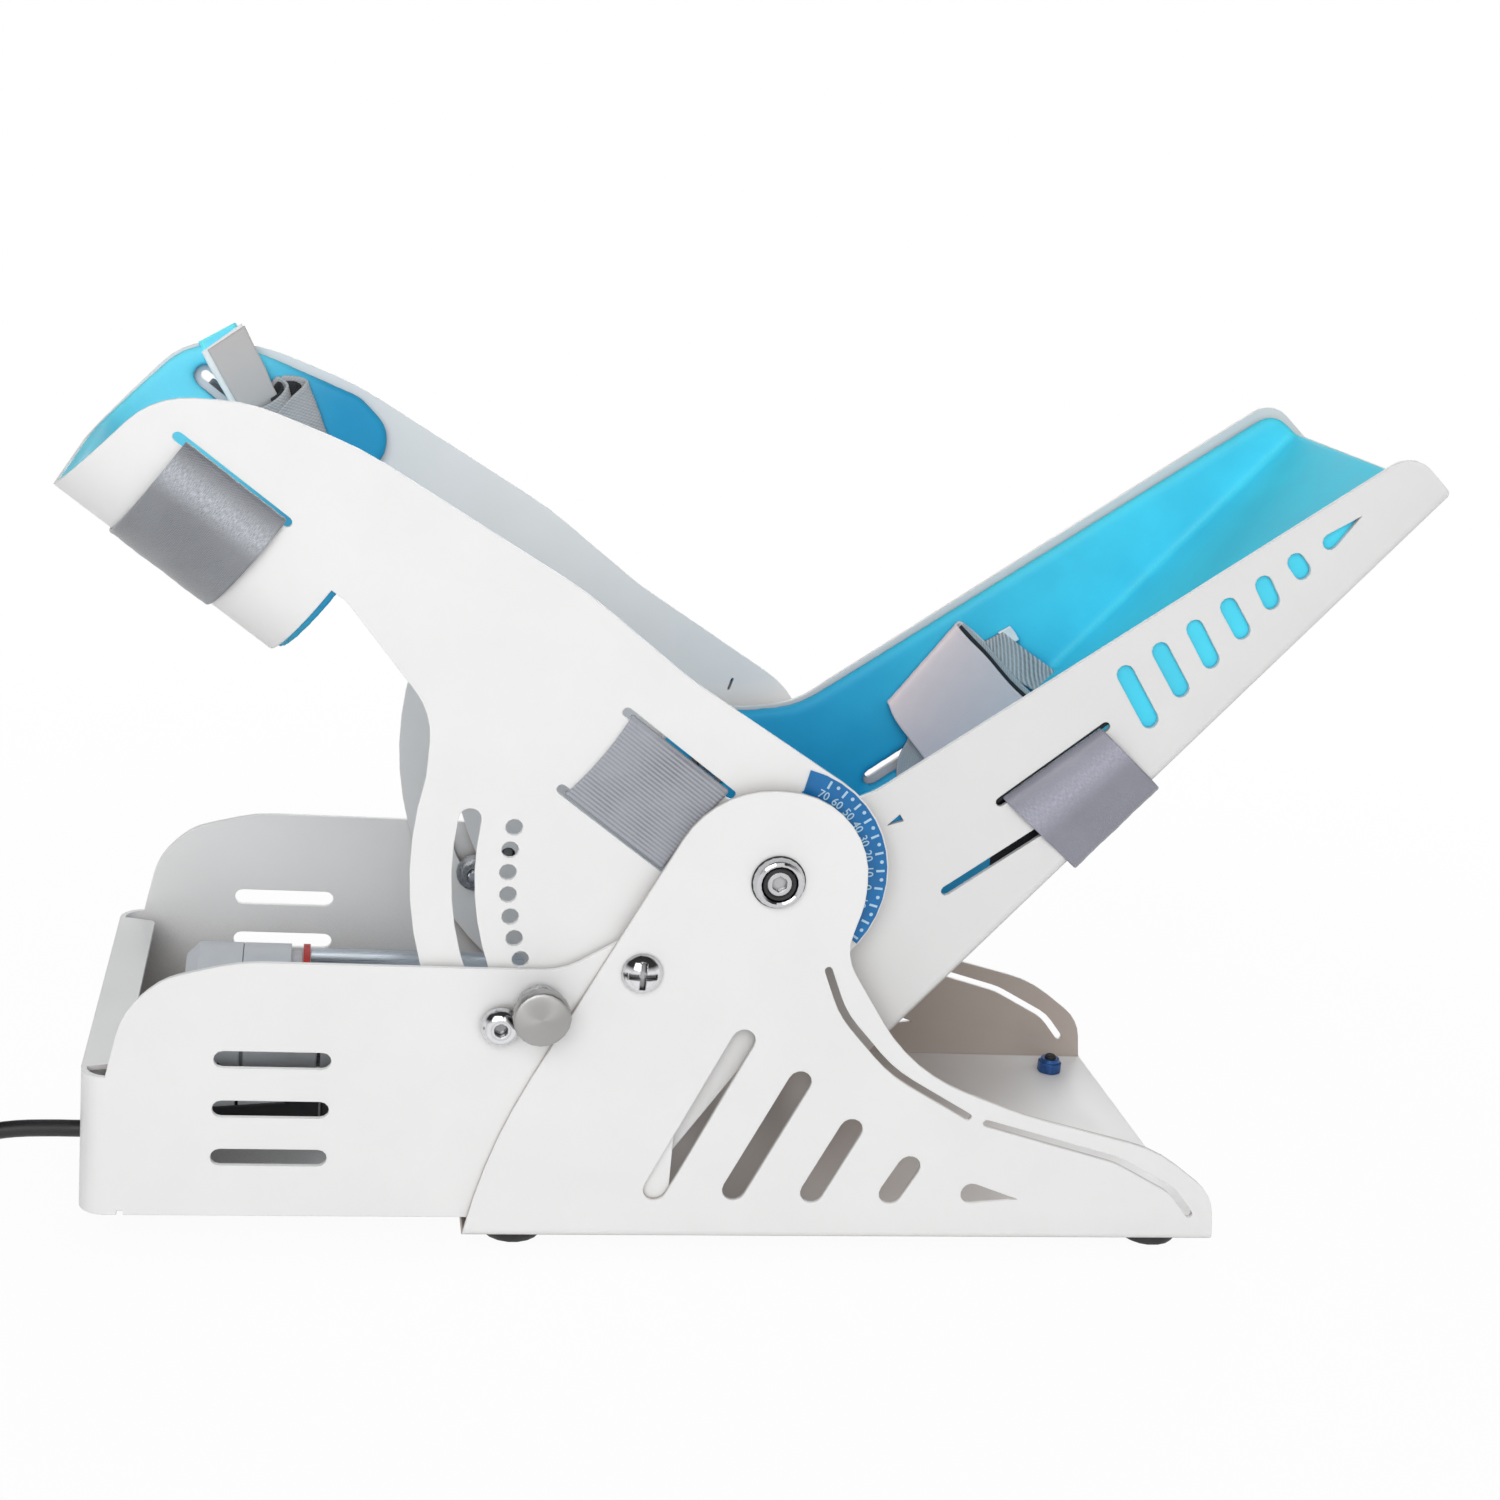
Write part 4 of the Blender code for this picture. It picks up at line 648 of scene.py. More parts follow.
# Each finish: its maker, its colour or the name of that colour's setting, and the maker's values
FINISHES = {
    "white_coat": (solid_of, "coat", COAT),
    # A little darker all over, painted shade, with more painted shade where the base plates cover it
    "foot_coat": (dull_coat, "coat", dict(COAT, corner=(0.74, 0.68, 0.66), reach=0.035, onset=0.7)),
    "base_coat": (channel_coat, "coat", COAT),
    # Strong, warm painted shade deep inside the housing
    "housing_coat": (solid_of, "coat", dict(COAT, corner=(0.50, 0.45, 0.42), reach=0.08, onset=0.5)),
    # Chrome edges painted dark, a painted reflection; the polished metals' recesses painted nearly black, painted shade
    "chrome": (solid_of, (0.74, 0.74, 0.76), dict(
        POLISH, rough=(0.05, 0.11), edge=0.12, corner=0.03, radius=0.0008, onset=0.95)),
    "polished_cap": (solid_of, (0.60, 0.60, 0.62), dict(POLISH, rough=(0.04, 0.09), edge=1.0, corner=0.05, onset=0.9)),
    "turned_steel": (turned_of, (0.40, 0.395, 0.39), dict(
        POLISH, rough=(0.30, 0.36), corner=0.35, grain=(5000.0, 90.0), radius=0.0006, reach=0.006)),
    "steel": (solid_of, (0.50, 0.505, 0.52), dict(
        rough=(0.24, 0.38), relief=6e-6, metal=1.0, tone=0.10, corner=0.35, brushed=(900.0, 500.0, 900.0),
        reach=0.008)),
    "drive_tube": (solid_of, (0.50, 0.55, 0.61), dict(
        rough=(0.22, 0.36), relief=8e-6, metal=0.85, tone=0.08, corner=0.6, brushed=(25.0, 1500.0, 1500.0))),
    "blue_nut": (solid_of, (0.03, 0.10, 0.30), dict(
        rough=(0.28, 0.40), relief=6e-6, metal=0.6, tone=0.15, edge=1.7, corner=0.5, grain=(1800.0, 300.0),
        reach=0.006)),
    "black_plastic": (solid_of, (0.024, 0.024, 0.027), dict(BLACK, rough=(0.34, 0.48))),
    "black_rubber": (solid_of, (0.022, 0.022, 0.024), dict(
        BLACK, rough=(0.55, 0.72), relief=3e-5, tone=0.25, grain=(2200.0, 150.0), edge=1.9, radius=0.0007)),
    "cord_black": (solid_of, "cord", dict(
        rough=(0.42, 0.58), relief=1.5e-5, tone=0.2, grain=(2600.0, 110.0), edge=1.3)),
    "drive_plastic": (solid_of, "drive", PALE),
    "pale_cover": (solid_of, (0.80, 0.83, 0.86), dict(PALE, rough=(0.4, 0.5), tone=0.04, edge=1.1)),
    "red_ring": (solid_of, (0.55, 0.035, 0.03), dict(
        rough=(0.45, 0.60), relief=2e-5, tone=0.12, grain=(2000.0, 200.0))),
    "white_core": (solid_of, (0.90, 0.90, 0.90), dict(
        rough=(0.6, 0.75), relief=4e-5, tone=0.05, grain=(1700.0, 120.0))),
    "blue_scale": (solid_of, "dial", dict(
        rough=(0.30, 0.42), relief=6e-6, tone=0.10, grain=(1600.0, 130.0), edge=1.3, corner=0.9, radius=0.0002)),
    "dial_ink": (solid_of, "marks", dict(
        rough=(0.35, 0.50), relief=1e-5, tone=0.05, grain=(2600.0, 260.0), edge=1.0, corner=1.0, radius=0.0001)),
    # Each lining gets a painted gradient of shade and light: the calf lining deeper blue low down and paler towards its
    # upper end, the foot lining deeper blue low down by the sole
    "blue_foam": (solid_of, "foam", dict(
        FOAM, fade=((-1.0, 0.0, 0.0), 0.205, 0.262, (0.13, 0.45, 0.64), (2.2, 1.06, 1.04)))),
    "foot_foam": (solid_of, "foam", dict(FOAM, fade=((0.653, 0.0, 0.757), 0.09, 0.27, (0.12, 0.50, 0.70)))),
    "grey_web": (cloth_of, "webbing", dict(
        yarns=(0.00062, 0.00085, 0.33, 0.15), relief=1.3e-4, rough=(0.26, 0.42), tone=0.45, gloss=0.8,
        polish=(0.1172, 0.0125, 0.009, 3.0))),
    "lilac_web": (cloth_of, "lilac", dict(
        yarns=FINE, relief=7e-5, rough=(0.24, 0.38), tone=0.22, gloss=0.7, polish=(0.1077, 0.0135, 0.011, 2.1))),
    # The free end of the foot strap: the same webbing painted lighter and warmer, a painted highlight
    "lilac_end": (cloth_of, (0.80, 0.66, 0.66), dict(yarns=FINE, relief=5e-5, rough=(0.26, 0.4), tone=0.08, gloss=0.7)),
    # The felted face of the calf strap's padded end
    "pale_web": (cloth_of, (0.56, 0.52, 0.51), dict(
        yarns=(0.0005, 0.0006, 0.2, 0.3), relief=5e-5, rough=(0.5, 0.7), tone=0.05)),
    "grey_elastic": (elastic_of, "elastic", dict(relief=1.1e-4, rough=(0.55, 0.75), tone=0.42)),
    # The fuzzy side of the hook and loop tape, also used for the black bands of painted shade, and its other side
    "black_loop": (cloth_of, (0.018, 0.019, 0.022), dict(FUZZY, yarns=(0.0009, 0.0011, 0.6, 0.4), tone=0.4)),
    "hook_tape": (cloth_of, (0.42, 0.425, 0.435), dict(
        FUZZY, yarns=(0.0022, 0.0026, 1.0, 0.85), relief=0.0005, tone=0.55)),
    # The back of the webbing, flecked like wool
    "melange": (cloth_of, (0.42, 0.425, 0.44), dict(FUZZY, yarns=(0.0012, 0.0014, 0.8, 0.4), tone=0.28)),
}
made_materials = {}


def finish(name):
    """The finish of that name, made on its first use."""
    if name not in made_materials:
        maker, color, values = FINISHES[name]
        if isinstance(color, str):
            color = getattr(colours(), color)
        made_materials[name] = maker(name, color, **values)
    return made_materials[name]


def smoothing_group():
    """Joins the facets of a solid and shades them smooth, apart from its real edges."""
    tree = bpy.data.node_groups.get("join_and_smooth")
    if tree:
        return tree
    tree = bpy.data.node_groups.new("join_and_smooth", "GeometryNodeTree")
    for way in ("INPUT", "OUTPUT"):
        tree.interface.new_socket(name="Geometry", in_out=way, socket_type="NodeSocketGeometry")
    given = tree.nodes.new("NodeGroupInput").outputs[0]
    joined = add_node(tree, "GeometryNodeMergeByDistance", {"Geometry": given, "Distance": SAME_PLACE}).outputs[0]
    plain = add_node(tree, "GeometryNodeRemoveAttribute", {0: joined, "Name": "custom_normal"}).outputs[0]
    angle = add_node(tree, "GeometryNodeInputMeshEdgeAngle").outputs[0]
    soft = add_node(tree, "FunctionNodeCompare", {0: angle, 1: math.radians(32)}, operation="LESS_THAN").outputs[0]
    for domain, shaded in (("FACE", True), ("EDGE", soft)):
        plain = add_node(tree, "GeometryNodeSetShadeSmooth", {"Geometry": plain, "Shade Smooth": shaded},
                         domain=domain).outputs[0]
    tree.links.new(plain, tree.nodes.new("NodeGroupOutput").inputs[0])
    return tree


def dress(names, finish_name):
    """Gives solids of the frame their finish, and smooth shading over their curves."""
    for name in names:
        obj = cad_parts[name]
        for place in obj.material_slots:
            place.material = finish(finish_name)
        obj.modifiers.new("smooth_curves", "NODES").node_group = smoothing_group()


def both(*stems):
    return [f"{stem}_{side}" for stem in stems for side in SIDES]


def set_on(obj, body):
    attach(obj, body)


# The pieces

class TrainerOperator(bpy.types.Operator):
    """Shared by the operators below."""
    bl_options = {"REGISTER", "UNDO"}


class TRAINER_OT_viewpoint(TrainerOperator):
    """Stands the camera where the photograph was taken from"""
    bl_idname = "trainer.viewpoint"
    bl_label = "Viewpoint"

    def execute(self, context):
        data = bpy.data.cameras.new("viewpoint")
        data.lens = studio().lens
        data.sensor_width = 36.0
        data.clip_start = 0.01
        camera = placed("viewpoint", data)
        camera.location = CAMERA_PLACE
        camera.rotation_euler = Euler([math.radians(a) for a in CAMERA_TURN], "XYZ")
        context.scene.camera = camera
        return {"FINISHED"}


def lead_route():
    """From the housing's rear wall, straight out, down to the floor and along it to the coil."""
    side = [(HOUSING_REAR, CORD_Z), (-148.0, CORD_Z), (-155.0, CORD_Z), (-168.0, 20.9), (-180.5, 18.7), (-192.0, 14.4),
            (-202.4, 8.7), (-211.8, 3.0), (-221.0, -1.2), (-229.2, -3.1), (COIL_X + COIL_ENTRY, -3.25)]
    return [(x, CORD_Y, z) for x, z in eased(side, 3)[:-1]]


def coil_route():
    """Turns in on the floor, a climb, and turns out on top of them, ending beside the plug."""
    middle = (COIL_X, CORD_Y - COIL_OUTER)
    low = COIL_LIFT + CORD_RADIUS + FLOOR_Z
    inner = COIL_OUTER - COIL_PITCH * COIL_TURNS
    climb = COIL_TURNS * COIL_POINTS
    quarter = COIL_POINTS // 4
    total = 2 * climb + quarter
    points = [(COIL_X + COIL_ENTRY, CORD_Y, low)]
    for i in range(total + 1):
        rise = 0.0
        radius = COIL_OUTER - COIL_PITCH * i / COIL_POINTS
        if i > climb:
            rise = COIL_PITCH * min(1.0, (i - climb) / quarter)
            radius = inner + COIL_PITCH * max(0, i - climb - quarter) / COIL_POINTS
            radius += COIL_FLARE * max(0.0, 1 - (total - i) / quarter) ** 2
        points.append((*around(middle, radius, math.radians(90 + 360 * i / COIL_POINTS)), low + rise))
    x, y, z = points[-1]
    return points + [(x, y - COIL_ENTRY, z)]


def plug_piece(x, y, z):
    """Moulded plug: ringed neck, waisted grip with ridges, and two metal pins."""
    rings = []
    for i in range(5):
        neck = 3.9 + 0.25 * i
        near = y - 0.3 - 2.6 * i
        rings += [(near - back, neck + more, neck + more, 1.0)
                  for back, more in ((0.0, 1.3), (1.3, 1.3), (1.5, 0.4), (2.4, 0.4))]
    start = y - 13.6
    rings += [(start, 7.0, 8.2, 0.8), (start - 1.2, 8.4, 10.4, 0.7), (start - 3.0, 9.0, 11.4, 0.62)]
    for i in range(4):
        ridge = start - 4.4 - 2.6 * i
        rings += [(ridge, 9.0, 11.5, 0.6), (ridge - 0.5, 8.3, 11.2, 0.6), (ridge - 1.4, 8.3, 11.2, 0.6),
                  (ridge - 1.9, 9.1, 11.5, 0.6)]
    rings += [(start - 16.5, 9.3, 11.7, 0.55), (start - 19.4, 9.3, 11.7, 0.55), (start - 20.4, 8.6, 11.0, 0.55)]
    count = 40
    verts = []
    for along, wide, tall, square in rings:
        for j in range(count):
            a, b = rounded_point(2 * math.pi * j / count, wide, tall, square)
            verts.append(at(x + a, along, z + b))
    grip = piece_from("plug_grip", verts, closed_skin(verts, count), finish("black_plastic"))
    count = 20
    pins = []
    faces = []
    for lift in (-6.5, 6.5):
        verts = []
        for along, radius in ((0.0, 2.0), (-16.5, 2.0), (-18.0, 1.2), (-18.3, 0.05)):
            for j in range(count):
                a, b = around((x, z + lift), radius, 2 * math.pi * j / count)
                verts.append(at(a, start - 20.0 + along, b))
        faces += [tuple(len(pins) + i for i in face) for face in closed_skin(verts, count)]
        pins += verts
    return grip, piece_from("plug_pins", pins, faces, finish("steel"))


class TRAINER_OT_power_cord(TrainerOperator):
    """Lays the mains lead out of the housing and into its coil, with its plug"""
    bl_idname = "trainer.power_cord"
    bl_label = "Power cord"

    def execute(self, context):
        route = lead_route() + coil_route()
        cord = tube_curve("power_cord", route, sizes().cord, finish("cord_black"))
        hidden = [(x, CORD_Y, CORD_Z) for x in (CONTROLLER_REAR, -84.0, -112.0, HOUSING_REAR + 0.1)]
        inside = tube_curve("lead_inside", hidden, sizes().cord, finish("cord_black"))
        grip, pins = plug_piece(*route[-1])
        for obj in (cord, inside, grip, pins):
            set_on(obj, "base")
        dress(["cord_tie"], "black_plastic")
        dress(["cord_gland"], "black_rubber")
        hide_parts("cord_lead", "cord_coil")
        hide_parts("cord_plug")
        return {"FINISHED"}


class TRAINER_OT_plates(TrainerOperator):
    """Coats the folded plates of the base, housing, calf and foot brackets"""
    bl_idname = "trainer.plates"
    bl_label = "Coated plates"

    def execute(self, context):
        dress(["calf_bracket"], "white_coat")
        dress(["foot_bracket"], "foot_coat")
        dress(["rear_housing"], "housing_coat")
        dress(["base_channel"], "base_coat")
        return {"FINISHED"}


def rubber_ring(name, radius, thick, y, segments=64, section=12):
    """A black round-section ring about the axle, in base millimetres, standing for the shade in a gap: painted shade.
    """
    verts = []
    faces = []
    for i in range(segments):
        for j in range(section):
            reach, lift = around((radius, y), thick, 2 * math.pi * j / section)
            x, z = around(PIVOT, reach, 2 * math.pi * i / segments)
            verts.append(at(x, lift, z))
            faces.append([((i + a) % segments) * section + (j + b) % section
                          for a, b in ((0, 0), (1, 0), (1, 1), (0, 1))])
    return piece_from(name, verts, faces, finish("black_rubber"))


class TRAINER_OT_hardware(TrainerOperator):
    """Finishes the bolts, nuts, plungers, lever and rod"""
    bl_idname = "trainer.hardware"
    bl_label = "Hardware"

    def execute(self, context):
        dress(both("guide_bolt", "housing_screw"), "chrome")
        dress(both("axle_bolt"), "polished_cap")
        for side, sign in SIDES.items():
            # Black rings round the axle caps, painted shade in the gaps there
            for name, radius, thick, depth in AXLE_RINGS:
                ring = rubber_ring(f"{name}_{side}", radius, thick, sign * (HEAD_FACE + depth))
                set_on(ring, "base")
        dress(both("axle_bush", "axle_spacer", "axle_nut", "guide_nut", "plunger_body"), "steel")
        dress(both("plunger_knob"), "turned_steel")
        dress(["drive_rod", "drive_lever", "drive_pin"], "steel")
        return {"FINISHED"}


class TRAINER_OT_feet(TrainerOperator):
    """Finishes the rubber feet and their lock nuts"""
    bl_idname = "trainer.feet"
    bl_label = "Feet"

    def execute(self, context):
        for stem, finish_name in (("rubber_foot", "black_rubber"), ("foot_nut", "blue_nut")):
            dress(both(f"{stem}_rear", f"{stem}_front"), finish_name)
        return {"FINISHED"}


class TRAINER_OT_drive(TrainerOperator):
    """Finishes the linear drive and what holds and feeds it"""
    bl_idname = "trainer.drive"
    bl_label = "Linear drive"

    def execute(self, context):
        dress(["drive_end_cap", "drive_gear_case"], "drive_plastic")
        dress(["drive_gasket"], "red_ring")
        dress(["drive_tube"], "drive_tube")
        dress(["drive_saddle_rear", "drive_saddle_front", "controller_box"], "black_plastic")
        self.sleeve()
        self.wire_tray()
        return {"FINISHED"}

    def sleeve(self):
        """The covers on the near side of the drive, a dark joint apart."""
        arc = [around(DRIVE_AXIS, COVER_RADIUS, math.radians(COVER_ARC[0] + COVER_ARC[1] * j / 24)) for j in range(25)]
        for i, ends in enumerate(COVERS):
            left, right = ([(x, y, z) for y, z in arc] for x in ends)
            cover, _, _ = band(f"drive_cover_{i}", left, right, 1.0, finish("pale_cover"))
            set_on(cover, "base")

    def wire_tray(self):
        """The black tray beside the drive that its wires lie in, and the pale terminal blocks in it; the tray's black
        also stands for the shade under the drive, partly painted shade.
        """
        tops = ((-104.0, 23.0), (-67.8, 26.2), (-67.0, 29.0), (-55.0, 29.0))
        tray = [[(x, -30.0, 10.4), (x, -30.0, top), (x, -28.8, top), (x, -28.8, 12.0), (x, -12.8, 12.0),
                 (x, -12.8, top), (x, -12.0, top), (x, -12.0, 10.4)] for x, top in tops]
        set_on(lofted("wire_tray", tray, finish("black_plastic")), "base")
        for i, ends in enumerate(((-103.0, -87.7), (-86.3, -68.4))):
            block = [[(x, -28.2, 12.4), (x, -28.2, 28.0), (x, -27.4, 28.8), (x, -15.0, 28.8), (x, -14.0, 28.0),
                      (x, -14.0, 12.4)] for x in ends]
            set_on(lofted(f"wire_block_{i}", block, finish("pale_cover")), "base")


def soft_copy(name, node, finish_name):
    """A lining with its cut edges rounded off, from the solid that it replaces."""
    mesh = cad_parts[node].data.copy()
    edit = bmesh.new()
    edit.from_mesh(mesh)
    bmesh.ops.remove_doubles(edit, verts=edit.verts, dist=SAME_PLACE)
    edit.to_mesh(mesh)
    edit.free()
    obj = placed(name, mesh)
    cells = obj.modifiers.new("cells", "REMESH")
    cells.mode = "VOXEL"
    cells.voxel_size = sizes().foam_step
    cells.use_smooth_shade = True
    ease = obj.modifiers.new("ease", "SMOOTH")
    ease.factor = 0.5
    ease.iterations = studio().steps
    made = mesh_of(obj)
    obj.modifiers.clear()
    obj.data = made
    made.name = name
    made.materials.clear()
    made.materials.append(finish(finish_name))
    made.polygons.foreach_set("use_smooth", [True] * len(made.polygons))
    return obj


class TRAINER_OT_foam(TrainerOperator):
    """Makes the foam linings of the calf trough and the foot plate"""
    bl_idname = "trainer.foam"
    bl_label = "Foam linings"

    def execute(self, context):
        for body, finish_name in (("calf", "blue_foam"), ("foot", "foot_foam")):
            lining = soft_copy(f"{body}_lining", f"{body}_pad", finish_name)
            set_on(lining, body)
            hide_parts(f"{body}_pad")
        return {"FINISHED"}


def slot_bow(share):
    """How far webbing bows out where it leaves a slot, with share running from there to where it lies flat."""
    if not 0.0 < share < 1.0:
        return 0.0
    return BOW * math.sin(math.pi * share ** 0.6) ** 1.3


def slack(across, along):
    """The slight unevenness of webbing under its own pull."""
    return 0.10 * math.sin(0.31 * across + 0.9) * math.sin(0.12 * along + 0.4) + 0.06 * math.sin(0.17 * along + across)


def strap_layers(layers, body, sheet, node):
    """The bands of a strap's folded end, from their table. The one called sheet stands for the solid."""
    for name, finish_name, thick, left, right in layers:
        made, width, run = band(name, eased(left, 4), eased(right, 4), thick, finish(finish_name), ripple=slack)
        set_on(made, body)
        if name == sheet:
            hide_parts(node)


class TRAINER_OT_calf_strap(TrainerOperator):
    """Wraps the calf strap round the trough, and makes the padded end that stands over its far edge"""
    bl_idname = "trainer.calf_strap"
    bl_label = "Calf strap"

    def execute(self, context):
        thick = sizes().web / MM
        out = CALF_HALF + GAP + thick / 2
        low = TROUGH_BOTTOM - GAP - thick / 2
        bend = TROUGH_CORNER + GAP + thick / 2
        ends = CALF_HALF - TUCK
        path = bent_path([(-ends, CALF_SLOT_W), (-out - 0.1, CALF_SLOT_W, 1.0), (-out, low, bend), (out, low, bend),
                          (out + 0.1, CALF_SLOT_W, 1.0), (ends, CALF_SLOT_W)])
        path = [(y + math.copysign(slot_bow((CALF_SLOT_W - w) / BOW_LENGTH), y), w) for y, w in path]
        left, right = ([trough(y, w, u) for y, w in path] for u in CALF_STRAP_U)
        strap, width, run = band("calf_webbing", left, right, thick, finish("grey_web"), ripple=slack)
        set_on(strap, "calf")
        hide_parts("calf_strap")
        strap_layers(STRAP_END, "calf", "strap_end_face", "calf_strap_roll")
        return {"FINISHED"}


# Layers of the calf strap's end: name, finish, thickness, and the two edges from the top down
STRAP_END = (
    ("strap_end_face", "pale_web", 1.1,
     ((-112.0, 74.0, 306.4), (-108.5, 72.4, 300.9), (-105.3, 71.2, 295.6), (-101.7, 70.6, 289.8), (-98.5, 70.5, 284.8),
      (-96.2, 71.5, 280.6), (-95.4, 74.0, 278.6)),
     ((-97.8, 74.0, 317.3), (-94.6, 72.4, 311.5), (-91.8, 71.2, 306.6), (-88.8, 70.6, 301.2), (-86.1, 70.5, 295.3),
      (-83.8, 71.5, 291.0), (-83.0, 74.0, 289.0))),
    ("strap_end_core", "white_core", 1.7,
     ((-114.3, 75.4, 305.2), (-111.1, 73.8, 299.6), (-107.9, 72.7, 294.7), (-104.7, 72.1, 289.8), (-101.6, 72.0, 284.7),
      (-99.0, 73.0, 280.4)),
     ((-99.0, 75.6, 317.8), (-95.6, 74.0, 312.2), (-92.8, 72.8, 307.2), (-89.6, 72.2, 301.8), (-87.0, 72.1, 295.9),
      (-84.6, 73.0, 291.6))),
    ("strap_end_foam", "blue_foam", 7.0,
     ((-115.9, 80.0, 308.6), (-113.6, 79.2, 303.8), (-111.0, 77.2, 299.4), (-108.4, 76.4, 295.4)),
     ((-101.6, 80.0, 317.6), (-98.6, 79.2, 312.6), (-95.8, 77.2, 308.0), (-93.0, 76.4, 303.4))),
    # The next two black bands are painted shade: they stand for the dark between the folds
    ("strap_fold_gap", "black_loop", 1.3,
     ((-85.6, 73.3, 293.5), (-84.0, 73.4, 296.0), (-82.6, 72.6, 295.2), (-83.4, 71.2, 292.0), (-86.4, 70.2, 289.4)),
     ((-82.0, 73.3, 282.4), (-80.4, 73.4, 285.0), (-79.0, 72.6, 284.2), (-79.8, 71.2, 281.0), (-82.8, 70.2, 278.4))),
    ("strap_fold_core", "black_loop", 1.6,
     ((-80.6, 73.9, 296.4), (-76.8, 73.7, 296.5), (-75.6, 72.7, 295.2), (-77.4, 71.1, 291.6), (-81.2, 69.7, 287.2)),
     ((-70.4, 73.9, 272.9), (-66.6, 73.7, 273.0), (-65.4, 72.7, 271.7), (-67.2, 71.1, 268.1), (-71.0, 69.7, 263.7))),
    ("strap_fold_inner", "melange", 1.1,
     ((-87.5, 74.6, 291.0), (-86.2, 74.8, 295.9), (-84.1, 75.0, 297.9), (-81.5, 74.0, 297.0), (-80.3, 72.0, 295.1),
      (-82.5, 70.0, 291.3), (-86.2, 69.0, 288.1), (-90.3, 68.2, 285.8)),
     ((-83.6, 74.6, 279.0), (-82.4, 74.8, 283.8), (-80.4, 75.0, 285.8), (-77.8, 74.0, 285.0), (-76.6, 72.0, 283.1),
      (-78.6, 70.0, 279.3), (-82.3, 69.0, 276.1), (-86.4, 68.2, 273.8))),
    ("strap_fold_outer", "melange", 1.1,
     ((-83.0, 75.3, 296.4), (-82.0, 75.5, 298.3), (-78.1, 75.4, 298.6), (-74.2, 75.0, 298.2), (-72.6, 73.6, 297.2),
      (-74.4, 71.4, 294.6), (-78.6, 69.2, 290.4), (-84.2, 67.6, 283.6)),
     ((-72.6, 75.3, 272.4), (-71.6, 75.5, 274.3), (-67.9, 75.4, 274.8), (-64.4, 75.0, 274.4), (-62.6, 73.2, 273.2),
      (-64.2, 71.0, 270.6), (-68.4, 69.0, 266.4), (-74.0, 67.4, 259.6))),
)


class TRAINER_OT_elastic(TrainerOperator):
    """Stretches the ribbed elastic between the paired slots of each calf plate"""
    bl_idname = "trainer.elastic"
    bl_label = "Elastic"

    def execute(self, context):
        thick = sizes().elastic / MM
        pitch = sizes().rib / MM
        high, low = LEG_SLOT_W
        out = CALF_HALF + GAP + thick / 2
        ends = CALF_HALF - TUCK
        path = bent_path([(ends, high), (out, high, SLOT_BEND), (out, low, SLOT_BEND), (ends, low)], step=pitch / 5)

        def ribs(across, along):
            return RIB_RISE * math.cos(2 * math.pi * along / pitch)

        for side, sign in SIDES.items():
            left = []
            right = []
            for y, w in path:
                waist = WAIST * math.sin(math.pi * min(1.0, max(0.0, (high - w) / (high - low)))) ** 0.7
                left.append(trough(sign * y, w, LEG_SLOT_U[0] + SLOT_MARGIN + waist))
                right.append(trough(sign * y, w, LEG_SLOT_U[1] - SLOT_MARGIN - 0.5 * waist))
            if sign > 0:
                left, right = right, left
            patch, width, run = band(f"leg_elastic_{side}", left, right, thick, finish("grey_elastic"), step=3.0,
                                     ripple=ribs)
            set_on(patch, "calf")
            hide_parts(f"leg_strap_{side}")
        return {"FINISHED"}


class TRAINER_OT_foot_strap(TrainerOperator):
    """Wraps the foot strap under the sole, and folds its free end down on the far lining"""
    bl_idname = "trainer.foot_strap"
    bl_label = "Foot strap"

    def execute(self, context):
        thick = sizes().web / MM
        out = FOOT_HALF + GAP + thick / 2
        under = -STRAP_UNDER_SOLE - thick / 2
        bend = SOLE_BEND + GAP + thick / 2
        low, high = FOOT_STRAP_SLOT
        inset = FOOT_SLOT_MARGIN / math.dist(low, high)
        steps = 20
        corners = [(x, z) for x, _, z in (sole(0.0, bend, s) for s in FOOT_STRAP_S)]

        def on_wall(y, share):
            """Both edges on the plate, share of the way from the slot to the sole's bend."""
            slot_ends = (blended(low, high, inset), blended(high, low, inset))
            return [(x, y, z) for x, z in (blended(a, b, share) for a, b in zip(slot_ends, corners))]

        def on_sole(y, lift):
            return [sole(y, lift, s) for s in FOOT_STRAP_S]

        def over_side(sign):
            """From inside the slot, down the plate and round the bend."""
            pairs = [on_wall(sign * y, share) for y, share in ((FOOT_HALF - TUCK, 0.0), (out - 0.7, 0.0), (out, 0.02))]
            pairs += [on_wall(sign * (out + slot_bow(i / steps)), i / steps) for i in range(1, steps + 1)]
            for i in range(1, 8):
                turn = math.radians(90.0 * i / 8)
                y, lift = out - bend + bend * math.cos(turn), under + bend * (1 - math.sin(turn))
                pairs.append(on_sole(sign * y, lift))
            return pairs

        across = [on_sole((out - bend) * (i / steps - 1), under) for i in range(2 * steps + 1)]
        left, right = zip(*over_side(-1.0), *across, *reversed(over_side(1.0)))
        strap, width, run = band("foot_webbing", left, right, thick, finish("lilac_web"), ripple=slack)
        set_on(strap, "foot")
        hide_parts("foot_strap")
        strap_layers(FOOT_STRAP_END, "foot", "foot_strap_end", "foot_strap_loop")
        return {"FINISHED"}


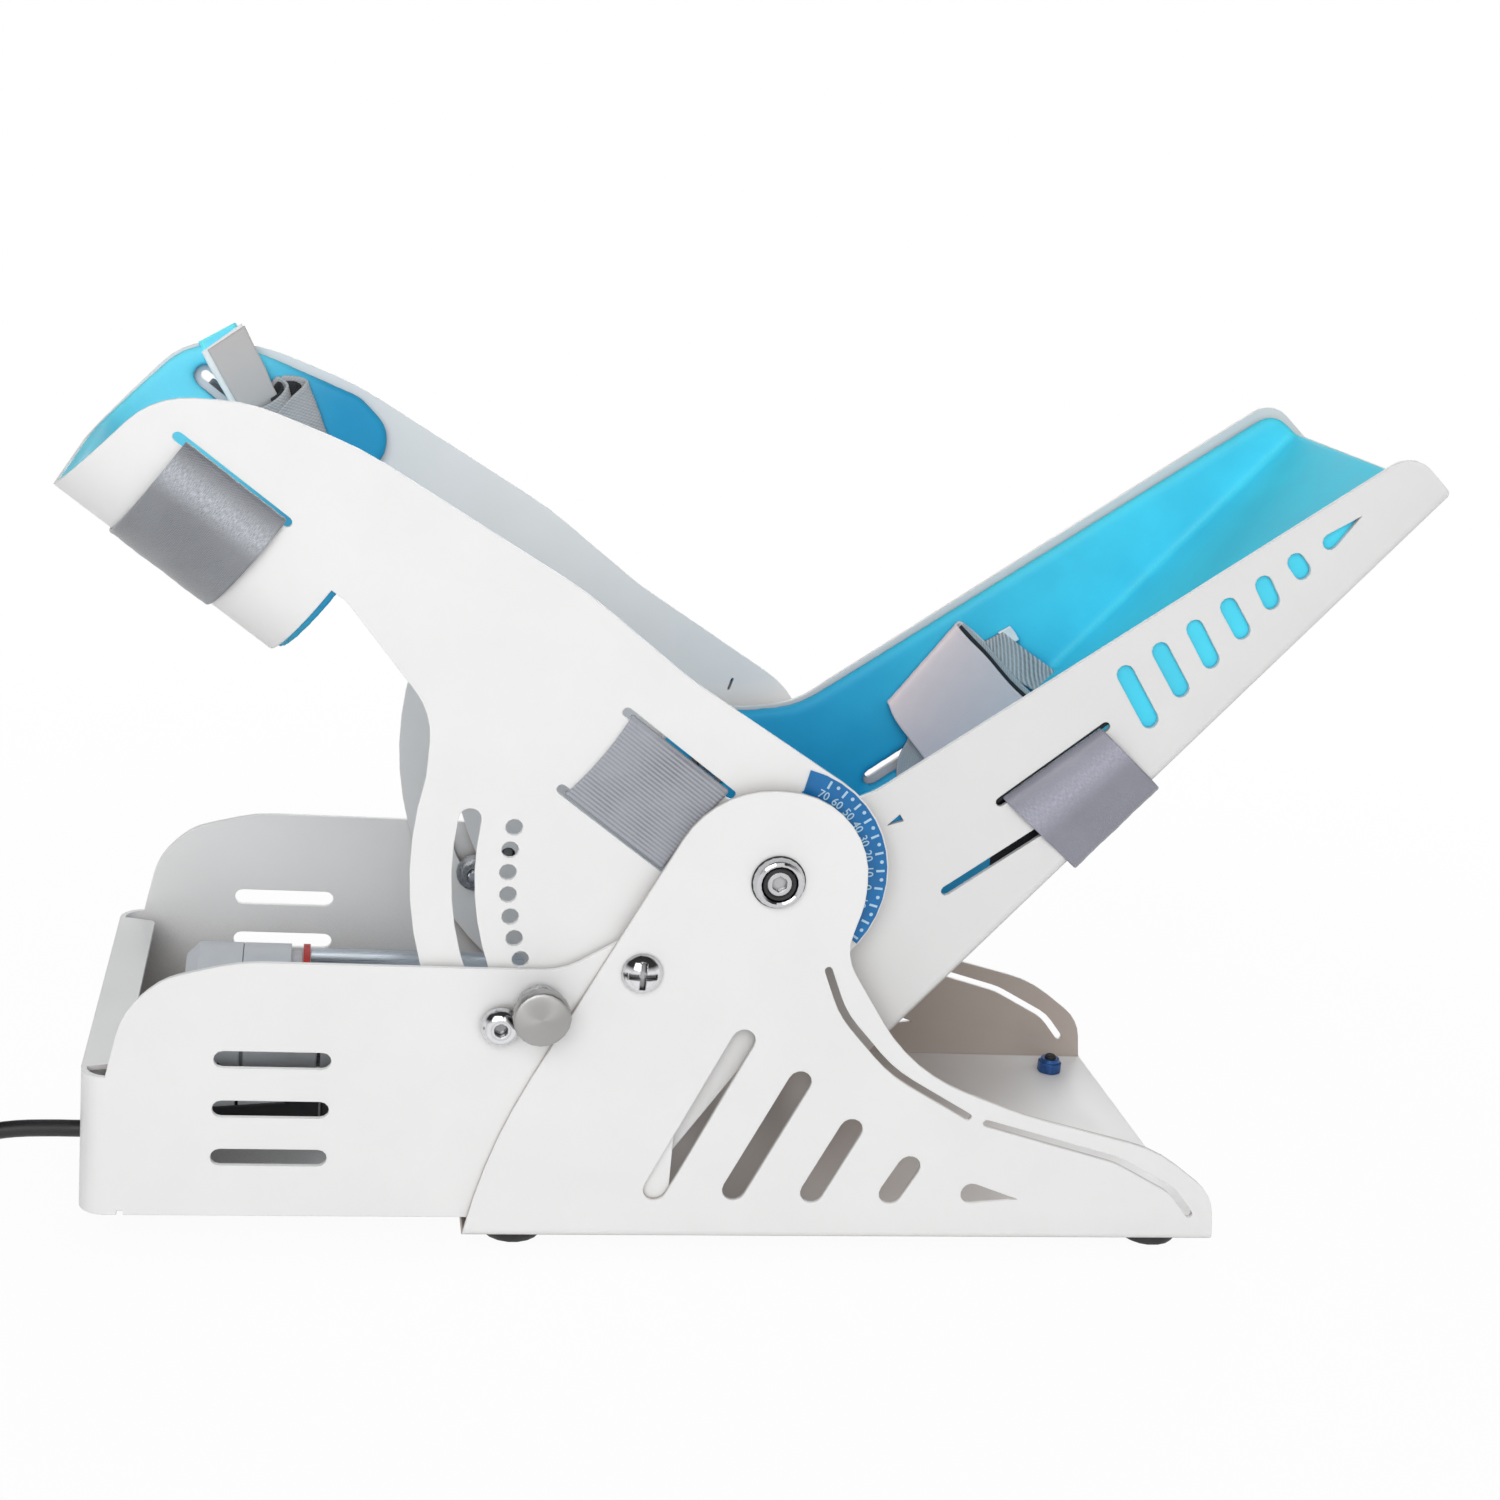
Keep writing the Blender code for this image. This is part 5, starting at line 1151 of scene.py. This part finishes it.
# Layers of the foot strap's end, in the same form
FOOT_STRAP_END = (
    ("foot_strap_end", "lilac_end", 1.1,
     ((201.0, 61.9, 160.6), (190.5, 61.8, 169.0), (183.0, 61.4, 176.2), (180.8, 60.2, 178.0), (180.9, 58.6, 177.4),
      (183.1, 57.4, 172.9), (186.8, 56.6, 168.0), (191.5, 56.2, 162.9), (201.0, 56.0, 152.6), (210.4, 56.2, 144.2)),
     ((228.5, 61.9, 201.4), (217.5, 61.8, 210.4), (210.0, 61.4, 215.4), (207.9, 60.2, 215.3), (207.6, 58.6, 214.0),
      (213.0, 57.4, 208.7), (221.0, 56.6, 202.0), (232.5, 56.2, 190.8), (240.6, 56.0, 184.2), (243.0, 56.2, 182.4))),
    ("foot_strap_middle", "black_loop", 0.8,
     ((206.0, 59.2, 210.6), (211.0, 58.6, 204.6), (218.0, 57.8, 198.2), (229.5, 57.4, 187.0), (240.0, 57.3, 179.0)),
     ((209.2, 59.2, 214.6), (215.4, 58.6, 209.0), (222.5, 57.8, 202.8), (234.0, 57.4, 191.6), (244.0, 57.3, 183.8))),
    ("foot_strap_back", "melange", 0.9,
     ((207.0, 60.6, 210.6), (212.0, 60.0, 204.6), (219.0, 59.2, 198.2), (230.5, 58.8, 187.0), (241.0, 58.6, 179.0)),
     ((210.6, 60.6, 215.2), (217.4, 60.0, 209.8), (224.6, 59.2, 203.8), (236.2, 58.8, 192.8), (246.2, 58.6, 184.8))),
    ("foot_hook_tape", "hook_tape", 1.5,
     ((220.6, 61.4, 207.0), (228.6, 60.6, 198.6), (237.1, 60.0, 191.5), (242.6, 59.7, 188.4), (247.0, 59.6, 186.2)),
     ((228.8, 61.4, 212.1), (238.2, 60.6, 205.9), (247.8, 60.0, 200.1), (251.4, 59.7, 197.9), (255.0, 59.6, 195.8))),
    ("foot_tape_tip", "white_core", 1.2,
     ((226.6, 61.9, 211.4), (229.6, 61.9, 208.8), (232.4, 61.9, 205.8)),
     ((231.8, 61.9, 214.8), (234.2, 61.9, 212.4), (236.6, 61.9, 209.2))),
    # This black band inside the near wall is painted shade: it stands for the dark in the strap's slot
    ("foot_strap_inner", "black_loop", 1.1,
     ((194.2, -69.5, 174.6), (194.6, -65.6, 174.2), (195.4, -62.9, 171.5), (196.2, -62.3, 165.0), (196.6, -62.3, 151.0),
      (197.4, -62.3, 140.0)),
     ((234.4, -69.5, 208.4), (234.6, -65.6, 207.8), (234.4, -62.9, 204.4), (233.4, -62.3, 195.0), (232.8, -62.3, 182.0),
      (232.8, -62.3, 173.0))),
    ("foot_strap_under", "melange", 1.1,
     ((192.0, 70.0, 165.4), (192.4, 64.0, 163.8), (191.6, 61.6, 160.8), (189.0, 60.8, 155.4), (188.0, 60.6, 149.4),
      (189.0, 60.4, 141.6)),
     ((206.0, 70.0, 172.8), (206.4, 64.0, 171.2), (206.6, 61.6, 168.4), (206.2, 60.8, 162.4), (206.6, 60.6, 155.4),
      (207.8, 60.4, 147.0))),
)


def raised_print(name, shapes, depth, lift):
    """Flat printed shapes, each an outline of (x, z) in base millimetres, standing lift above the film."""
    verts = []
    faces = []
    for shape in shapes:
        base = len(verts)
        count = len(shape)
        verts += [at(x, y, z) for y in (depth, depth + lift) for x, z in shape]
        faces += [tuple(range(base, base + count)), tuple(range(base + count, base + 2 * count))]
        faces += [tuple(base + i for i in face) for face in skin(2, count)]
    return piece_from(name, verts, faces, finish("dial_ink"), smooth=False)


def dash_outline(inner, outer, angle):
    """A short radial bar at an angle."""
    half_in, half_out = (math.degrees(DASH_WIDTH / 2 / radius) for radius in (inner, outer))
    return [polar(inner, angle - half_in), polar(outer, angle - half_out), polar(outer, angle + half_out),
            polar(inner, angle + half_in)]


class TRAINER_OT_dial(TrainerOperator):
    """Prints the dashes, dots and numbers on the angle scales"""
    bl_idname = "trainer.dial"
    bl_label = "Angle dial"

    def execute(self, context):
        dress(both("angle_scale"), "blue_scale")
        outer = SCALE_OUTER - 1.0
        shapes = [dash_outline(outer - sizes().dash / MM, outer, angle) for angle in range(-35, 66, 10)]
        shapes += [[around(polar(outer - 1.0, angle), DOT_RADIUS, math.radians(t)) for t in range(0, 360, 30)]
                   for angle in range(-30, 61, 10)]
        for side, sign in SIDES.items():
            marks = raised_print(f"dial_marks_{side}", shapes, sign * SCALE_FACE, sign * INK_LIFT)
            for printed in (marks, self.numbers(f"dial_numbers_{side}", sign)):
                set_on(printed, "calf")
        return {"FINISHED"}

    def numbers(self, name, sign):
        """Tens from 70 down to 0 and up again, reading along the ring."""
        joined = bmesh.new()
        for angle in range(65, -36, -10):
            data = bpy.data.curves.new("figure", "FONT")
            data.body = str(abs(angle + 5))
            data.size = FIGURE_SIZE * MM
            data.offset = 0.04 * MM
            data.align_x = "CENTER"
            data.align_y = "CENTER"
            data.extrude = 0.03 * MM
            data.resolution_u = 3
            obj = placed("figure", data)
            x, z = polar(FIGURE_RADIUS, angle)
            obj.location = at(x, sign * SCALE_FACE, z)
            obj.rotation_euler = [math.radians(a) for a in (90, sign * (angle - 90), 90 + 90 * sign)]
            mesh = mesh_of(obj)
            mesh.transform(obj.matrix_world)
            joined.from_mesh(mesh)
            bpy.data.objects.remove(obj)
            bpy.data.meshes.remove(mesh)
        mesh = bpy.data.meshes.new(name)
        joined.to_mesh(mesh)
        joined.free()
        mesh.materials.append(finish("dial_ink"))
        return placed(name, mesh)


def lamp(name, power, place):
    """A square soft box turned to the object's middle."""
    data = bpy.data.lights.new(name, "AREA")
    data.shape = "SQUARE"
    data.size = LAMP_SIZE
    data.energy = power
    obj = placed(name, data)
    obj.location = place
    obj.rotation_euler = (Vector((0.0, 0.0, 0.12)) - Vector(place)).to_track_quat("-Z", "Y").to_euler()


def in_plain_sight(tree):
    """1 where the camera looks, straight, in a mirror or through glass."""
    path = add_node(tree, "ShaderNodeLightPath").outputs
    seen = sum_of(tree, "MAXIMUM", path["Is Camera Ray"], path["Is Glossy Ray"])
    return sum_of(tree, "MAXIMUM", seen, path["Is Transmission Ray"])


def set_surface(tree, end, share, lit, plain):
    blend = add_node(tree, "ShaderNodeMixShader", {0: share, 1: lit.outputs[0], 2: plain.outputs[0]})
    tree.links.new(blend.outputs[0], tree.nodes[end].inputs["Surface"])


class TRAINER_OT_stage(TrainerOperator):
    """Lays the pale floor and hangs the soft studio light"""
    bl_idname = "trainer.stage"
    bl_label = "Studio"

    def execute(self, context):
        self.floor()
        self.sky()
        for name, place in LAMPS.items():
            lamp(f"{name}_lamp", getattr(studio(), name), place)
        context.scene.view_settings.view_transform = "Standard"
        return {"FINISHED"}

    def floor(self):
        """A disc that takes the shadow, and looks white far from the object."""
        count = 64
        z = MM * FLOOR_Z
        verts = [(0.0, 0.0, z)] + [(*around((0.0, 0.0), FLOOR_REACH, 2 * math.pi * i / count), z) for i in range(count)]
        faces = [(0, 1 + i, 1 + (i + 1) % count) for i in range(count)]
        made, tree, shader = new_material("pale_floor")
        shader["Roughness"].default_value = 0.7
        shader["Specular IOR Level"].default_value = 0.2
        grain = placed_group(tree, "fine_grain", Scale=700.0, Mottle=3.0)
        pale = mixed(tree, grain["Mask"], (0.94, 0.94, 0.94, 1.0), (0.955, 0.955, 0.952, 1.0))
        tree.links.new(pale, shader["Base Color"])
        glow = add_node(tree, "ShaderNodeEmission", {"Strength": 1.0})
        away = vector_of(tree, "LENGTH", object_place(tree))["Value"]
        share = sum_of(tree, "MULTIPLY", in_plain_sight(tree), ranged(tree, away, 0.95, 1.0, 0.3, 0.9))
        set_surface(tree, "Material Output", share, tree.nodes["Principled BSDF"], glow)
        piece_from("floor", verts, faces, made, smooth=False)

    def sky(self):
        """Even light from all round, seen white by the camera and darker overhead by what is polished."""
        world = bpy.data.worlds.new("studio")
        bpy.context.scene.world = world
        world.use_nodes = True
        tree = world.node_tree
        light = tree.nodes["Background"]
        light.inputs["Color"].default_value = WHITE
        light.inputs["Strength"].default_value = studio().sky
        height = parts_of(tree, add_node(tree, "ShaderNodeTexCoord").outputs["Generated"])[2]
        camera = add_node(tree, "ShaderNodeLightPath").outputs["Is Camera Ray"]
        level = between(tree, camera, ranged(tree, height, 1.0, 0.04, 0.02, 0.38), 1.0)
        plain = add_node(tree, "ShaderNodeBackground", {"Strength": level, "Color": WHITE})
        set_surface(tree, "World Output", in_plain_sight(tree), light, plain)


class TRAINER_PT_panel(bpy.types.Panel):
    bl_idname = "TRAINER_PT_panel"
    bl_label = "Ankle trainer"
    bl_space_type = "VIEW_3D"
    bl_region_type = "UI"
    bl_category = "Trainer"

    def draw(self, context):
        for group in (colours(), sizes(), studio()):
            box = self.layout.box()
            for key in group.bl_rna.properties.keys():
                if key not in ("rna_type", "name"):
                    box.prop(group, key)
        for operator in OPERATORS:
            self.layout.operator(operator.bl_idname)


OPERATORS = (TRAINER_OT_viewpoint, TRAINER_OT_power_cord, TRAINER_OT_plates, TRAINER_OT_hardware, TRAINER_OT_feet,
             TRAINER_OT_drive, TRAINER_OT_foam, TRAINER_OT_calf_strap, TRAINER_OT_elastic, TRAINER_OT_foot_strap,
             TRAINER_OT_dial, TRAINER_OT_stage)
CLASSES = (TrainerColours, TrainerSizes, TrainerStudio, *OPERATORS, TRAINER_PT_panel)
GROUPS_ON_SCENE = {"trainer_colours": TrainerColours, "trainer_sizes": TrainerSizes, "trainer_studio": TrainerStudio}


def register():
    for made in CLASSES:
        bpy.utils.register_class(made)
    for key, group in GROUPS_ON_SCENE.items():
        setattr(bpy.types.Scene, key, PointerProperty(type=group))


def unregister():
    for key in GROUPS_ON_SCENE:
        delattr(bpy.types.Scene, key)
    for made in reversed(CLASSES):
        bpy.utils.unregister_class(made)


def main():
    register()
    bpy.ops.trainer.viewpoint()
    bpy.ops.trainer.power_cord()
    bpy.ops.trainer.plates()
    bpy.ops.trainer.hardware()
    bpy.ops.trainer.feet()
    bpy.ops.trainer.drive()
    bpy.ops.trainer.foam()
    bpy.ops.trainer.calf_strap()
    bpy.ops.trainer.elastic()
    bpy.ops.trainer.foot_strap()
    bpy.ops.trainer.dial()
    bpy.ops.trainer.stage()


if __name__ == "__main__":
    main()
